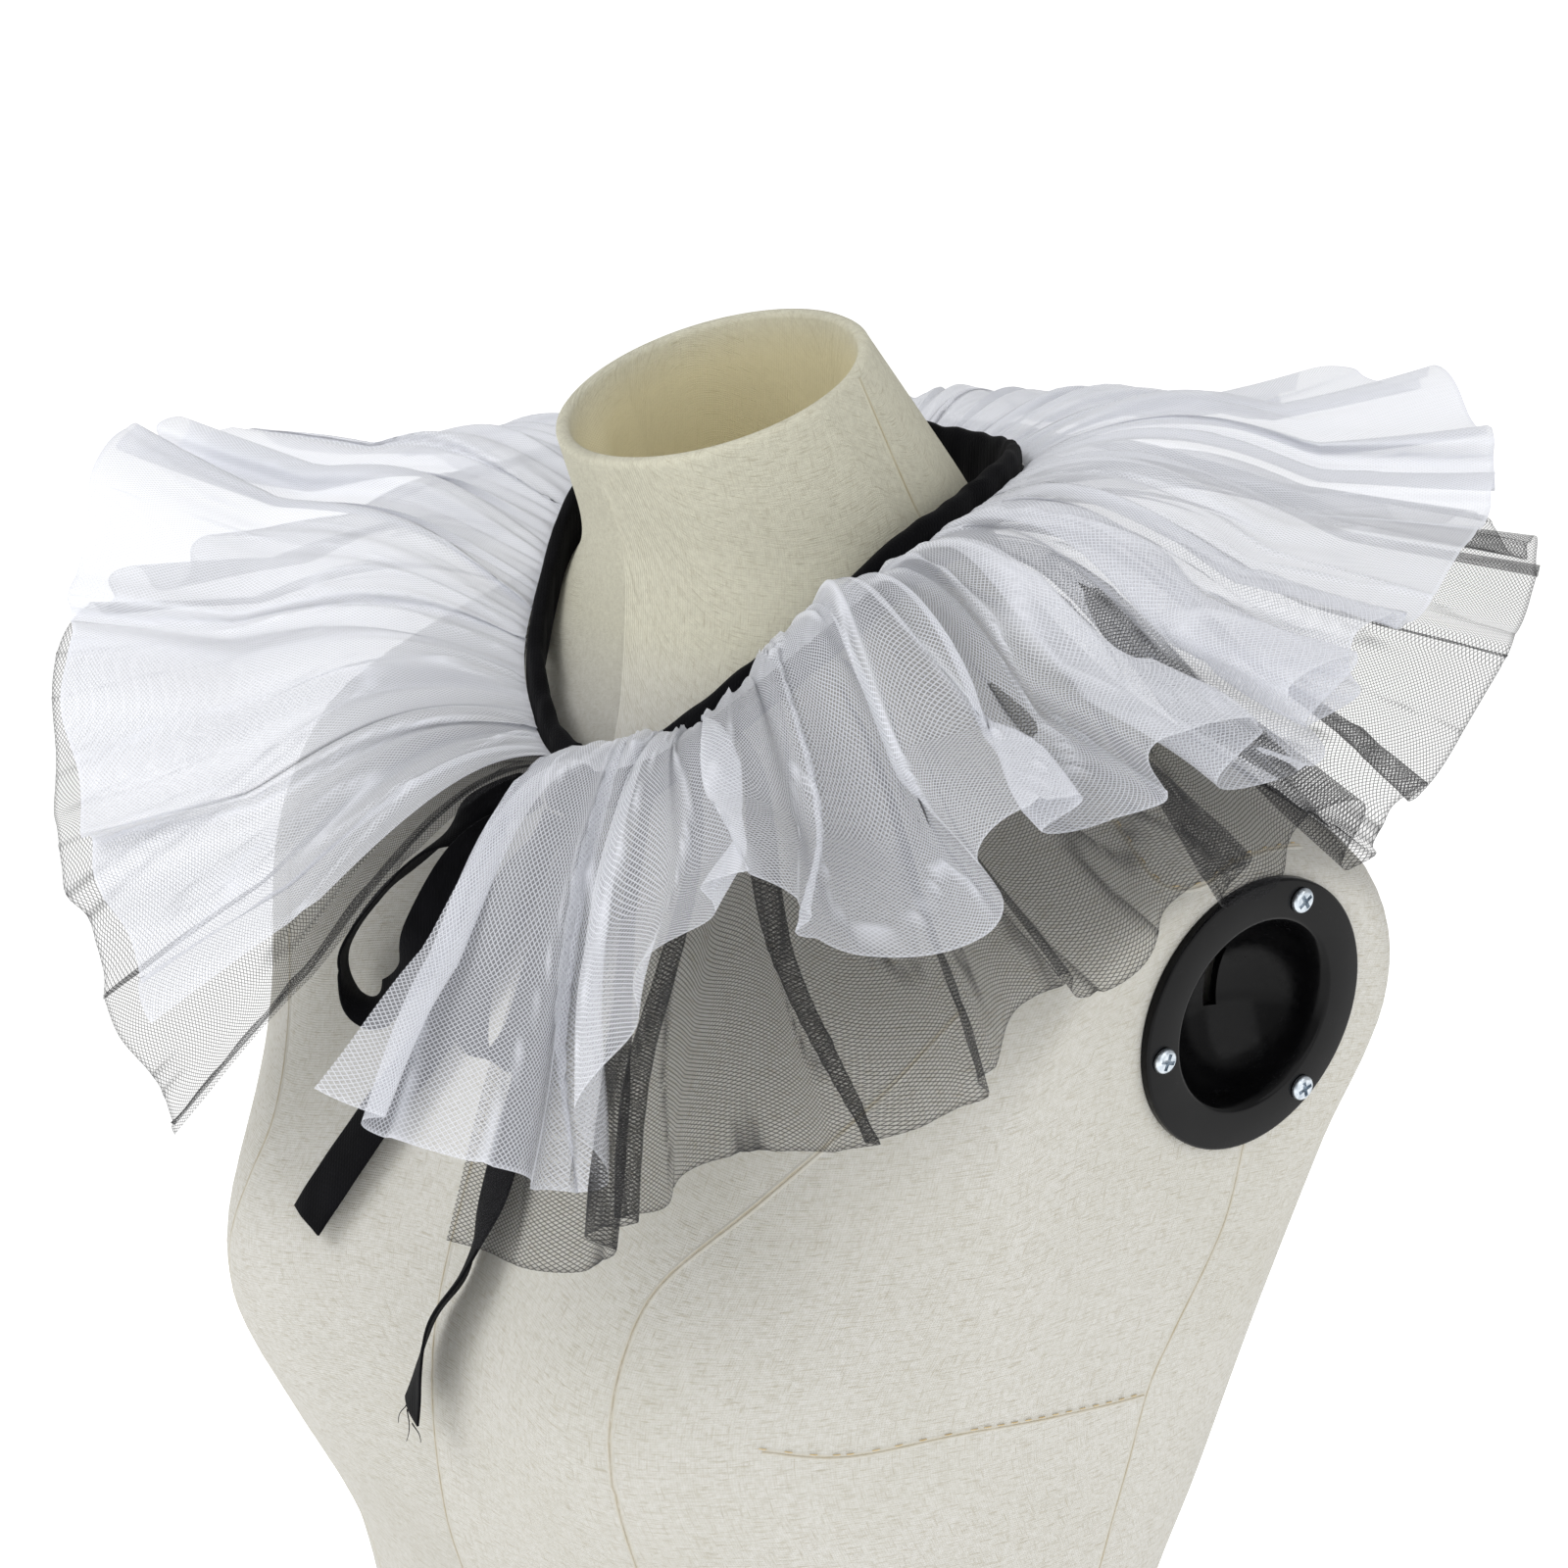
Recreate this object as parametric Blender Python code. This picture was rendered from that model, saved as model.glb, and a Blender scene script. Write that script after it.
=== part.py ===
"""Two-layer tulle ruff collar with a black neckband and tape ties, standing on a dress form.

Every size is in metres and +Z is up. The form faces -Y, so the wearer's left is +X.
The origin is the centre of the form's flat underside.
"""

import math
from collections import namedtuple
from functools import lru_cache

import bmesh
import bpy
from mathutils import Matrix, Vector

# Heights are given from the neck point, the level where the shoulder slope meets the neck.
NECK_POINT = 0.620

# Gap kept between two pieces that touch on the real object.
SEAM_GAP = 0.0003

# Dress form: one row for each level, height being measured from the neck point.
# Middle is where the side line runs, and fullness is 2 for an ellipse and less for a ridge.
Section = namedtuple("Section", "height half_width front back middle fullness")
FORM_SECTIONS = (
    Section(-0.620, 0.172, 0.106, 0.128, 0.010, 2.3),
    Section(-0.560, 0.180, 0.110, 0.138, 0.010, 2.3),
    Section(-0.500, 0.173, 0.108, 0.134, 0.010, 2.3),
    Section(-0.440, 0.153, 0.105, 0.120, 0.008, 2.2),
    Section(-0.380, 0.138, 0.101, 0.110, 0.008, 2.2),
    Section(-0.320, 0.144, 0.112, 0.114, 0.008, 2.2),
    Section(-0.270, 0.156, 0.128, 0.124, 0.010, 2.3),
    Section(-0.210, 0.170, 0.131, 0.134, 0.014, 2.4),
    Section(-0.150, 0.184, 0.114, 0.138, 0.020, 2.7),
    Section(-0.100, 0.199, 0.094, 0.135, 0.026, 3.0),
    Section(-0.065, 0.198, 0.074, 0.127, 0.026, 2.7),
    Section(-0.045, 0.180, 0.064, 0.118, 0.024, 2.0),
    Section(-0.030, 0.157, 0.060, 0.110, 0.021, 1.6),
    Section(-0.015, 0.128, 0.0575, 0.103, 0.018, 1.35),
    Section(0.000, 0.096, 0.057, 0.096, 0.015, 1.35),
    Section(0.013, 0.070, 0.0565, 0.089, 0.013, 1.65),
    Section(0.026, 0.0560, 0.0575, 0.082, 0.012, 2.0),
)
FORM_RING_POINTS = 40
FORM_LEVELS = 21
FORM_CROWDING = 1.75
NECK_LEVELS = (0.3, 0.6, 0.85)

# Bust: height, distance from the centre line and how far each side stands proud.
BUST_HEIGHT = -0.212
BUST_APART = 0.087
BUST_PROUD = 0.026
BUST_WIDTH = 0.050
BUST_TALL = 0.055

# Neck of the form, an open tube that leans forward.
NECK_RIM_CENTRE = Vector((0.0, -0.022, 0.072))
NECK_RIM_HALF_WIDTH = 0.047
NECK_RIM_HALF_DEPTH = 0.052
NECK_RIM_TILT = math.radians(20)
NECK_WALL = 0.0045
NECK_HOLLOW_DEPTH = 0.075
NECK_FLOOR_SHRINK = 0.80

# Arm plates and the ball sockets screwed to them.
PLATE_X = 0.1825
PLATE_YAW = math.radians(7)
PLATE_PITCH = math.radians(5)
SOCKET_CENTRE_Y = 0.024
SOCKET_CENTRE_HEIGHT = -0.093
FLANGE_RADIUS = 0.0425
FLANGE_THICKNESS = 0.003
CUP_RADIUS = 0.0285
CUP_LIP = 0.0015
CUP_DEPTH = 0.026
CUP_WALL = 0.0022
RECESS_RADIUS = 0.0325
RECESS_DEPTH = 0.032
SLOT_LENGTH = 0.019
SLOT_WIDTH = 0.0045
SLOT_OFFSET = 0.006
SLOT_RAISE = 0.002
SOCKET_SIDES = 24
SCREW_CIRCLE = 0.0365
SCREW_RADIUS = 0.0039
SCREW_HEIGHT = 0.0018
SCREW_RIM = 0.45
SCREW_CROWN = 0.72
SCREW_ANGLES = (70, 190, 310)

# Neckband, a padded strip of black cloth. It dips at the centre front and rides up at the sides.
BAND_HALF_WIDTH = 0.0625
BAND_HALF_DEPTH = 0.0825
BAND_CENTRE_Y = 0.009
BAND_LEVEL = 0.0105
BAND_TILT = 0.039
BAND_SADDLE = 0.015
BAND_THICKNESS = 0.0060
BAND_HEIGHT = 0.0195
BAND_OPEN = 2.5
BAND_SEGMENTS = 64
BAND_CORNERS = 8
BAND_BOXINESS_ACROSS = 0.7
BAND_BOXINESS_ALONG = 0.6
BAND_CLEARANCE = 0.0016

# Ties: the band's two ends run on as black tape, tied in a bow at the centre front.
TAPE_WIDTH = 0.016
TAPE_WALL = 0.0012
TAPE_PINCH = 0.42
TAPE_STEPS = 4
KNOT_CENTRE = Vector((0.0, -0.0814, 0.5735))
KNOT_SIZE = Vector((0.0135, 0.0095, 0.0140))
KNOT_ROUNDING = 0.32

# Each tape's route by hand: where it passes, and which way its width points there.
Pass = namedtuple("Pass", "x y z across")
ALONG_Z = Vector((0.0, -0.25, 1.0))
EDGE_ON = Vector((0.66, -0.70, 0.27))
HALF_TURNED = Vector((0.80, -0.42, -0.42))
LEVEL = Vector((1.0, 0.0, 0.0))
TIE_ROUTES = {
    "bow_loop_right": (
        Pass(-0.0081, -0.0805, 0.5755, ALONG_Z),
        Pass(-0.0170, -0.0900, 0.5690, EDGE_ON),
        Pass(-0.0350, -0.1040, 0.5510, EDGE_ON),
        Pass(-0.0520, -0.1110, 0.5330, EDGE_ON),
        Pass(-0.0640, -0.1150, 0.5140, EDGE_ON),
        Pass(-0.0610, -0.1160, 0.5035, EDGE_ON),
        Pass(-0.0450, -0.1180, 0.5010, HALF_TURNED),
        Pass(-0.0290, -0.1200, 0.5130, HALF_TURNED),
        Pass(-0.0220, -0.1140, 0.5330, EDGE_ON),
        Pass(-0.0170, -0.1030, 0.5550, EDGE_ON),
        Pass(-0.0081, -0.0845, 0.5705, ALONG_Z),
    ),
    "bow_loop_left": (
        Pass(0.0083, -0.0805, 0.5750, ALONG_Z),
        Pass(0.0160, -0.0890, 0.5660, LEVEL),
        Pass(0.0180, -0.0965, 0.5460, LEVEL),
        Pass(0.0180, -0.1060, 0.5240, LEVEL),
        Pass(0.0170, -0.1135, 0.5060, LEVEL),
        Pass(0.0150, -0.1215, 0.5000, LEVEL),
        Pass(0.0130, -0.1285, 0.5080, LEVEL),
        Pass(0.0110, -0.1255, 0.5260, LEVEL),
        Pass(0.0100, -0.1140, 0.5470, LEVEL),
        Pass(0.0110, -0.0980, 0.5630, LEVEL),
        Pass(0.0083, -0.0850, 0.5705, ALONG_Z),
    ),
    "tie_tail_right": (
        Pass(-0.0040, -0.0825, 0.5658, LEVEL),
        Pass(-0.0060, -0.0860, 0.5530, LEVEL),
        Pass(-0.0100, -0.0935, 0.5350, LEVEL),
        Pass(-0.0160, -0.1025, 0.5150, LEVEL),
        Pass(-0.0260, -0.1125, 0.4920, LEVEL),
        Pass(-0.0360, -0.1225, 0.4720, LEVEL),
        Pass(-0.0440, -0.1315, 0.4530, LEVEL),
        Pass(-0.0520, -0.1410, 0.4330, LEVEL),
    ),
    "tie_tail_left": (
        Pass(0.0040, -0.0825, 0.5658, LEVEL),
        Pass(0.0075, -0.0860, 0.5530, LEVEL),
        Pass(0.0110, -0.0930, 0.5350, LEVEL),
        Pass(0.0150, -0.1020, 0.5150, LEVEL),
        Pass(0.0170, -0.1110, 0.4920, HALF_TURNED),
        Pass(0.0200, -0.1260, 0.4600, HALF_TURNED),
        Pass(0.0180, -0.1350, 0.4380, EDGE_ON),
        Pass(0.0090, -0.1410, 0.4180, EDGE_ON),
        Pass(0.0020, -0.1430, 0.3880, HALF_TURNED),
    ),
}

# Ruffles: each is a straight tulle strip gathered into waves along its top edge.
TULLE_WALL = 0.0012
WHITE_DEPTH = 0.146
BLACK_DEPTH = 0.162
WHITE_SPAN = (7.0, 351.0)
BLACK_SPAN = (17.0, 350.0)
WHITE_ROOT_LIFT = 0.0052
BLACK_ROOT_LIFT = -0.0012
WHITE_CLEARANCE = 0.009
BLACK_CLEARANCE = 0.003
ROWS = (0.0, 0.14, 0.36, 0.64, 1.0)

# The strip springs up off the band over the first part of its depth, and then falls.
SPRING = 0.010
SPRING_PART = 0.625
FALL_CURVE = 1.35

# Waves: how many, their height at the hem, how they grow from the band, and how far they roll over.
WAVES = 26
POINTS_PER_WAVE = 7
WAVE_HEIGHT = 0.0115
ROOT_WAVE = 0.08
WAVE_GROWTH = 1.1
FLUTE_ROLL = 0.22

# Slow ripples round the neck that make the waves uneven in place and in height.
Ripple = namedtuple("Ripple", "strength per_turn phase")
PLACE_RIPPLES = (
    Ripple(1.0, 3, 0.7),
    Ripple(0.7, 7, 2.1),
    Ripple(0.5, 11, 0.0),
)
HEIGHT_RIPPLES = (
    Ripple(0.35, 5, 1.0),
    Ripple(0.20, 9, 0.3),
)
MEAN_HEIGHT = 0.8

# How far the hem of each ruffle stands above its gathered edge, all round the neck,
# and how far, in degrees, the strip swings aside from straight out.
Drape = namedtuple("Drape", "angle white black swing")
DRAPE = (
    Drape(0, -0.020, -0.095, 2),
    Drape(8, -0.050, -0.100, 2),
    Drape(15, -0.086, -0.104, 3),
    Drape(27, -0.082, -0.104, 2),
    Drape(37, -0.010, -0.090, 0),
    Drape(52, -0.032, -0.080, 0),
    Drape(66, -0.016, -0.058, 0),
    Drape(84, -0.026, -0.050, 0),
    Drape(98, -0.014, -0.060, 0),
    Drape(110, -0.006, -0.044, 0),
    Drape(120, 0.002, -0.022, 0),
    Drape(132, 0.008, -0.014, 0),
    Drape(145, 0.018, -0.018, 0),
    Drape(158, 0.024, -0.022, 0),
    Drape(172, 0.012, -0.028, 0),
    Drape(190, -0.010, -0.036, 0),
    Drape(220, -0.030, -0.050, 0),
    Drape(245, -0.038, -0.060, 0),
    Drape(260, -0.029, -0.054, 0),
    Drape(275, -0.012, -0.042, 0),
    Drape(290, 0.011, -0.030, 0),
    Drape(306, 0.040, -0.018, 0),
    Drape(318, 0.024, -0.040, -3),
    Drape(332, -0.036, -0.086, -10),
    Drape(345, -0.074, -0.112, -20),
    Drape(360, -0.090, -0.124, -30),
)

# How far a ruffle springs up beside the band before it falls, over the even spring.
Puff = namedtuple("Puff", "angle white black")
PUFFS = (
    Puff(0, 0.004, 0.0),
    Puff(9, 0.006, 0.0),
    Puff(17, 0.010, 0.0),
    Puff(24, 0.012, 0.0),
    Puff(32, 0.003, 0.0),
    Puff(42, 0.002, 0.0),
    Puff(52, 0.016, 0.004),
    Puff(64, 0.014, 0.004),
    Puff(78, 0.006, 0.002),
    Puff(120, 0.004, 0.0),
    Puff(240, 0.002, 0.0),
    Puff(330, 0.0, 0.0),
    Puff(360, 0.0, 0.0),
)
PUFF_CURVE = 0.6


def material(name, colour, roughness, metallic=0.0):
    """Return a Principled material in one plain colour."""
    made = bpy.data.materials.new(name)
    made.use_nodes = True
    shader = made.node_tree.nodes["Principled BSDF"]
    shader.inputs["Base Color"].default_value = (*colour, 1.0)
    shader.inputs["Roughness"].default_value = roughness
    shader.inputs["Metallic"].default_value = metallic
    made.diffuse_color = (*colour, 1.0)
    return made


def add_object(name, mesh_builder, finish):
    """Turn a finished bmesh into a named object with one material."""
    bmesh.ops.recalc_face_normals(mesh_builder, faces=mesh_builder.faces)
    mesh = bpy.data.meshes.new(name)
    mesh_builder.to_mesh(mesh)
    mesh_builder.free()
    mesh.materials.append(finish)
    mesh.shade_smooth()
    made = bpy.data.objects.new(name, mesh)
    bpy.context.collection.objects.link(made)
    return made


def loft(rings, closed_rings=True, cap_start=True, cap_end=True):
    """Skin a list of point rings, with a fan of triangles over each capped end."""
    builder = bmesh.new()
    rows = [[builder.verts.new(point) for point in ring] for ring in rings]
    count = len(rows[0])
    steps = count if closed_rings else count - 1
    for lower, upper in zip(rows, rows[1:]):
        for index in range(steps):
            following = (index + 1) % count
            builder.faces.new((lower[index], lower[following], upper[following], upper[index]))
    for row, wanted in ((rows[0], cap_start), (rows[-1], cap_end)):
        if wanted:
            builder.faces.new(row)
    return builder


def smooth_value(rows, key, column, position):
    """Read one column of a table at any position, on a smooth curve through its rows."""
    keys = [getattr(row, key) for row in rows]
    values = [getattr(row, column) for row in rows]
    position = min(max(position, keys[0]), keys[-1])
    index = max(i for i in range(len(keys) - 1) if keys[i] <= position)
    span = keys[index + 1] - keys[index]
    fraction = (position - keys[index]) / span

    def slope(i):
        before = max(i - 1, 0)
        after = min(i + 1, len(keys) - 1)
        return (values[after] - values[before]) / (keys[after] - keys[before])

    square = fraction * fraction
    cube = square * fraction
    return (
        (2 * cube - 3 * square + 1) * values[index]
        + (cube - 2 * square + fraction) * span * slope(index)
        + (3 * square - 2 * cube) * values[index + 1]
        + (cube - square) * span * slope(index + 1)
    )


def round_power(value, power):
    """Raise the size of a sine or cosine to a power and keep its sign."""
    return math.copysign(abs(value) ** power, value)


def form_level(height):
    """Half-width, front, back, middle and fullness of the torso at one height."""
    columns = ("half_width", "front", "back", "middle", "fullness")
    return [smooth_value(FORM_SECTIONS, "height", column, height) for column in columns]


def plate_frame(sign):
    """Place of an arm plate: its origin is the plate's centre, and its X axis points straight out."""
    centre = Vector((PLATE_X, SOCKET_CENTRE_Y, NECK_POINT + SOCKET_CENTRE_HEIGHT))
    yaw = Matrix.Rotation(-PLATE_YAW, 4, "Z")
    pitch = Matrix.Rotation(PLATE_PITCH, 4, "Y")
    mirror = Matrix.Diagonal((sign, 1, 1, 1))
    return mirror @ Matrix.Translation(centre) @ yaw @ pitch


def plate_limit(y, height):
    """Half-width at which the flat arm plate cuts the torso off."""
    back_lean = math.tan(PLATE_YAW) * (y - SOCKET_CENTRE_Y)
    down_lean = math.tan(PLATE_PITCH) * (height - SOCKET_CENTRE_HEIGHT)
    return PLATE_X + back_lean + down_lean / math.cos(PLATE_YAW)


def form_ring(height):
    """Points of the torso at one level, counted from the centre front to the wearer's left."""
    half_width, front, back, middle, fullness = form_level(height)
    power = 2.0 / fullness
    ring = []
    for step in range(FORM_RING_POINTS):
        angle = 2 * math.pi * step / FORM_RING_POINTS
        x = half_width * round_power(math.sin(angle), power)
        depth = front + middle if math.cos(angle) > 0 else back - middle
        y = middle - depth * round_power(math.cos(angle), power)
        if y < 0:
            across = (abs(x) - BUST_APART) / BUST_WIDTH
            along = (height - BUST_HEIGHT) / BUST_TALL
            y -= BUST_PROUD * math.exp(-across * across - along * along)
        x = math.copysign(min(abs(x), plate_limit(y, height)), x)
        ring.append(Vector((x, y, NECK_POINT + height)))
    return ring


def form_clearance(point):
    """Rough distance of a point from the torso, and the way out, for cloth that rests on it."""
    step = 0.001

    def inside(x, y, z):
        height = min(z - NECK_POINT, FORM_SECTIONS[-1].height)
        half_width, front, back, middle, fullness = form_level(height)
        depth = front + middle if y < middle else back - middle
        if y < middle:
            across = (abs(x) - BUST_APART) / BUST_WIDTH
            along = (height - BUST_HEIGHT) / BUST_TALL
            depth += BUST_PROUD * math.exp(-across * across - along * along)
        reach = (abs(x) / half_width) ** fullness + (abs(y - middle) / depth) ** fullness
        return reach ** (1.0 / fullness)

    here = inside(*point)
    slope = Vector((
        inside(point.x + step, point.y, point.z) - here,
        inside(point.x, point.y + step, point.z) - here,
        inside(point.x, point.y, point.z + step) - here,
    )) / step
    steepness = max(slope.length, 1e-6)
    return (here - 1.0) / steepness, slope / steepness


def lifted_off(point, clearance):
    """Move a point of cloth outwards until it just clears the torso."""
    for _ in range(3):
        distance, outward = form_clearance(point)
        if distance >= clearance:
            break
        point = point + outward * (clearance - distance)
    return point


def neck_ring(shrink, drop):
    """Points of a ring that lies square to the leaning neck, below its rim."""
    axis = Vector((0.0, -math.sin(NECK_RIM_TILT), math.cos(NECK_RIM_TILT)))
    centre = NECK_RIM_CENTRE + Vector((0, 0, NECK_POINT)) - axis * drop
    ring = []
    for step in range(FORM_RING_POINTS):
        angle = 2 * math.pi * step / FORM_RING_POINTS
        depth = -(NECK_RIM_HALF_DEPTH - shrink) * math.cos(angle)
        ring.append(centre + Vector((
            (NECK_RIM_HALF_WIDTH - shrink) * math.sin(angle),
            depth * math.cos(NECK_RIM_TILT),
            depth * math.sin(NECK_RIM_TILT),
        )))
    return ring


def blend_rings(first, second, amount):
    """Points part of the way from one ring to another."""
    return [a.lerp(b, amount) for a, b in zip(first, second)]


def cut(target, cutters):
    """Take the cutters out of a solid, and keep them only as hidden guides."""
    for cutter in cutters:
        cutter.hide_render = True
        cutter.display_type = "WIRE"
        boolean = target.modifiers.new("cut", "BOOLEAN")
        boolean.operation = "DIFFERENCE"
        boolean.object = cutter


def guide_object(name, builder):
    """Turn a bmesh into a cutter whose faces point outwards."""
    bmesh.ops.recalc_face_normals(builder, faces=builder.faces)
    mesh = bpy.data.meshes.new(name)
    builder.to_mesh(mesh)
    builder.free()
    guide = bpy.data.objects.new(name, mesh)
    bpy.context.collection.objects.link(guide)
    return guide


def guide_cylinder(name, radius, length, place, sides=40):
    """A cylinder along its place's X axis that serves as a cutter."""
    builder = bmesh.new()
    turn = place @ Matrix.Rotation(math.radians(90), 4, "Y")
    bmesh.ops.create_cone(
        builder, cap_ends=True, segments=sides, radius1=radius, radius2=radius, depth=length, matrix=turn
    )
    return guide_object(name, builder)


def dress_form(finish):
    """Torso, shoulders and the open neck in one solid with a flat underside."""
    lowest = FORM_SECTIONS[0].height
    highest = FORM_SECTIONS[-1].height
    rings = []
    for level in range(FORM_LEVELS):
        even = level / (FORM_LEVELS - 1)
        crowded = 1 - (1 - even) ** FORM_CROWDING
        rings.append(form_ring(lowest + (highest - lowest) * crowded))
    rim = neck_ring(0.0, 0.002)
    for amount in NECK_LEVELS:
        rings.append(blend_rings(rings[FORM_LEVELS - 1], rim, amount))
    rings.append(rim)
    rings.append(neck_ring(NECK_WALL * 0.25, 0.0))
    rings.append(neck_ring(NECK_WALL * 0.75, 0.0))
    rings.append(neck_ring(NECK_WALL, 0.002))
    floor_shrink = NECK_RIM_HALF_WIDTH * (1 - NECK_FLOOR_SHRINK)
    for amount in (0.5, 1.0):
        shrink = NECK_WALL + (floor_shrink - NECK_WALL) * amount
        rings.append(neck_ring(shrink, NECK_HOLLOW_DEPTH * amount))
    made = add_object("dress_form", loft(rings), finish)
    recesses = []
    for side, sign in (("left", 1), ("right", -1)):
        shift = Matrix.Translation((-RECESS_DEPTH * 0.5 + 0.01, 0, 0))
        place = plate_frame(sign) @ shift
        recesses.append(guide_cylinder(f"recess_{side}", RECESS_RADIUS, RECESS_DEPTH + 0.02, place))
    cut(made, recesses)
    return made


def turned_about_x(profile, place, sides):
    """Turn a closed outline of (radius, outward) pairs about the X axis of its place."""
    rings = []
    for step in range(sides):
        angle = 2 * math.pi * step / sides
        rings.append([
            place @ Vector((outward, radius * math.cos(angle), radius * math.sin(angle)))
            for radius, outward in profile
        ])
    builder = bmesh.new()
    rows = [[builder.verts.new(point) for point in ring] for ring in rings]
    count = len(profile)
    for index in range(sides):
        here = rows[index]
        there = rows[(index + 1) % sides]
        for step in range(count):
            following = (step + 1) % count
            builder.faces.new((here[step], here[following], there[following], there[step]))
    bmesh.ops.remove_doubles(builder, verts=builder.verts, dist=1e-6)
    return builder


def cup_arc(radius, depth, front, steps=5):
    """Quarter outline of a cup from its lip to its bottom."""
    points = []
    for step in range(steps + 1):
        angle = math.radians(90) * step / steps
        points.append((radius * math.cos(angle), front - depth * math.sin(angle)))
    return points


def arm_socket(side, sign, finish):
    """Moulded flange with a round cup behind it and a slot for the arm's hook."""
    base = SEAM_GAP
    face = base + FLANGE_THICKNESS
    inner = cup_arc(CUP_RADIUS, CUP_DEPTH, face)
    outer = cup_arc(CUP_RADIUS + CUP_WALL, CUP_DEPTH + CUP_WALL - FLANGE_THICKNESS, base)
    inner[-1] = (0.0, inner[-1][1])
    outer[-1] = (0.0, outer[-1][1])
    edge = [
        (FLANGE_RADIUS, base),
        (FLANGE_RADIUS, face - 0.0010),
        (FLANGE_RADIUS - 0.0012, face),
    ]
    profile = edge + [(CUP_RADIUS + CUP_LIP, face)] + inner[1:] + outer[::-1]
    made = add_object(
        f"arm_socket_{side}", turned_about_x(profile, plate_frame(sign), SOCKET_SIDES), finish
    )
    builder = bmesh.new()
    shift = Matrix.Translation((-CUP_DEPTH, SLOT_OFFSET, SLOT_RAISE))
    size = Matrix.Diagonal((CUP_DEPTH, SLOT_WIDTH, SLOT_LENGTH, 1))
    bmesh.ops.create_cube(builder, size=1.0, matrix=plate_frame(sign) @ shift @ size)
    slot = guide_object(f"slot_{side}", builder)
    cut(made, [slot])
    return made


def socket_screw(name, sign, angle, finish):
    """Pan head of one flange screw."""
    ring = Vector((0, SCREW_CIRCLE * math.cos(angle), SCREW_CIRCLE * math.sin(angle)))
    place = plate_frame(sign) @ Matrix.Translation(ring)
    base = FLANGE_THICKNESS + 2 * SEAM_GAP
    profile = [
        (0.0, base),
        (SCREW_RADIUS, base),
        (SCREW_RADIUS, base + SCREW_HEIGHT * SCREW_RIM),
        (SCREW_RADIUS * SCREW_CROWN, base + SCREW_HEIGHT),
        (0.0, base + SCREW_HEIGHT),
    ]
    return add_object(name, turned_about_x(profile, place, 12), finish)


def band_section(middle, outward):
    """Outline of the padded strip round its middle."""
    ring = []
    for corner in range(BAND_CORNERS):
        turn = 2 * math.pi * (corner + 0.5) / BAND_CORNERS
        across = BAND_THICKNESS * 0.5 * round_power(math.cos(turn), BAND_BOXINESS_ACROSS)
        along = BAND_HEIGHT * 0.5 * round_power(math.sin(turn), BAND_BOXINESS_ALONG)
        ring.append(middle + outward * across + Vector((0, 0, along)))
    return ring


@lru_cache(maxsize=None)
def band_point(angle):
    """Middle of the neckband at an angle from the centre front, where it rests on the form."""
    middle = Vector((
        BAND_HALF_WIDTH * math.sin(angle),
        BAND_CENTRE_Y - BAND_HALF_DEPTH * math.cos(angle),
        NECK_POINT + BAND_LEVEL - BAND_TILT * math.cos(angle) - BAND_SADDLE * math.cos(2 * angle),
    ))
    for _ in range(4):
        ring = band_section(middle, band_outward(angle))
        distance, away = min((form_clearance(corner) for corner in ring), key=lambda pair: pair[0])
        if distance >= BAND_CLEARANCE:
            break
        middle = middle + away * (BAND_CLEARANCE - distance)
    return middle


def band_outward(angle):
    """Level direction that points straight out of the neckband."""
    return Vector((BAND_HALF_DEPTH * math.sin(angle), -BAND_HALF_WIDTH * math.cos(angle), 0.0)).normalized()


def neck_band(finish):
    """Padded strip whose two short ends meet the knot at the centre front."""
    start = math.radians(BAND_OPEN)
    rings = []
    for step in range(BAND_SEGMENTS + 1):
        angle = start + (2 * math.pi - 2 * start) * step / BAND_SEGMENTS
        rings.append(band_section(band_point(angle), band_outward(angle)))
    return add_object("neck_band", loft(rings), finish)


def tie_knot(finish):
    """Rounded knot that holds the bow, seated on the band's two ends."""
    builder = bmesh.new()
    bmesh.ops.create_cube(builder, size=1.0)
    size = Matrix.Diagonal((*KNOT_SIZE, 1))
    builder.transform(Matrix.Translation(KNOT_CENTRE) @ size)
    made = add_object("tie_knot", builder, finish)
    bevel = made.modifiers.new("soft_edges", "BEVEL")
    bevel.width = min(KNOT_SIZE) * KNOT_ROUNDING
    bevel.segments = 3
    return made


def smooth_route(passes, steps):
    """Points and width directions on one smooth curve through a tape's route."""
    keys = range(len(passes))
    Row = namedtuple("Row", "key x y z wx wy wz")
    rows = [Row(key, p.x, p.y, p.z, *p.across.normalized()) for key, p in zip(keys, passes)]
    samples = []
    for index in range((len(passes) - 1) * steps + 1):
        place = index / steps
        values = [smooth_value(rows, "key", column, place) for column in Row._fields[1:]]
        samples.append((Vector(values[:3]), Vector(values[3:])))
    return samples


def tape(name, passes, closed_loop, finish):
    """A tie of even width that is pinched where it enters the knot."""
    samples = smooth_route(passes, TAPE_STEPS)
    last = len(samples) - 1
    rows = []
    for index, (point, across) in enumerate(samples):
        before = samples[max(index - 1, 0)][0]
        after = samples[min(index + 1, last)][0]
        tangent = (after - before).normalized()
        across = (across - tangent * across.dot(tangent)).normalized()
        from_knot = min(index, last - index) if closed_loop else index
        opened = min(from_knot / (2 * TAPE_STEPS), 1.0)
        eased = opened * opened * (3 - 2 * opened)
        half = TAPE_WIDTH * 0.5 * (TAPE_PINCH + (1 - TAPE_PINCH) * eased)
        rows.append([point - across * half, point + across * half])
    made = add_object(name, loft(rows, False, False, False), finish)
    wall = made.modifiers.new("wall", "SOLIDIFY")
    wall.thickness = TAPE_WALL
    wall.offset = 0.0
    return made


def ripple_sum(ripples, angle):
    """Sum of a table of ripples at one angle round the neck."""
    return sum(row.strength * math.sin(row.per_turn * angle + row.phase) for row in ripples)


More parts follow.
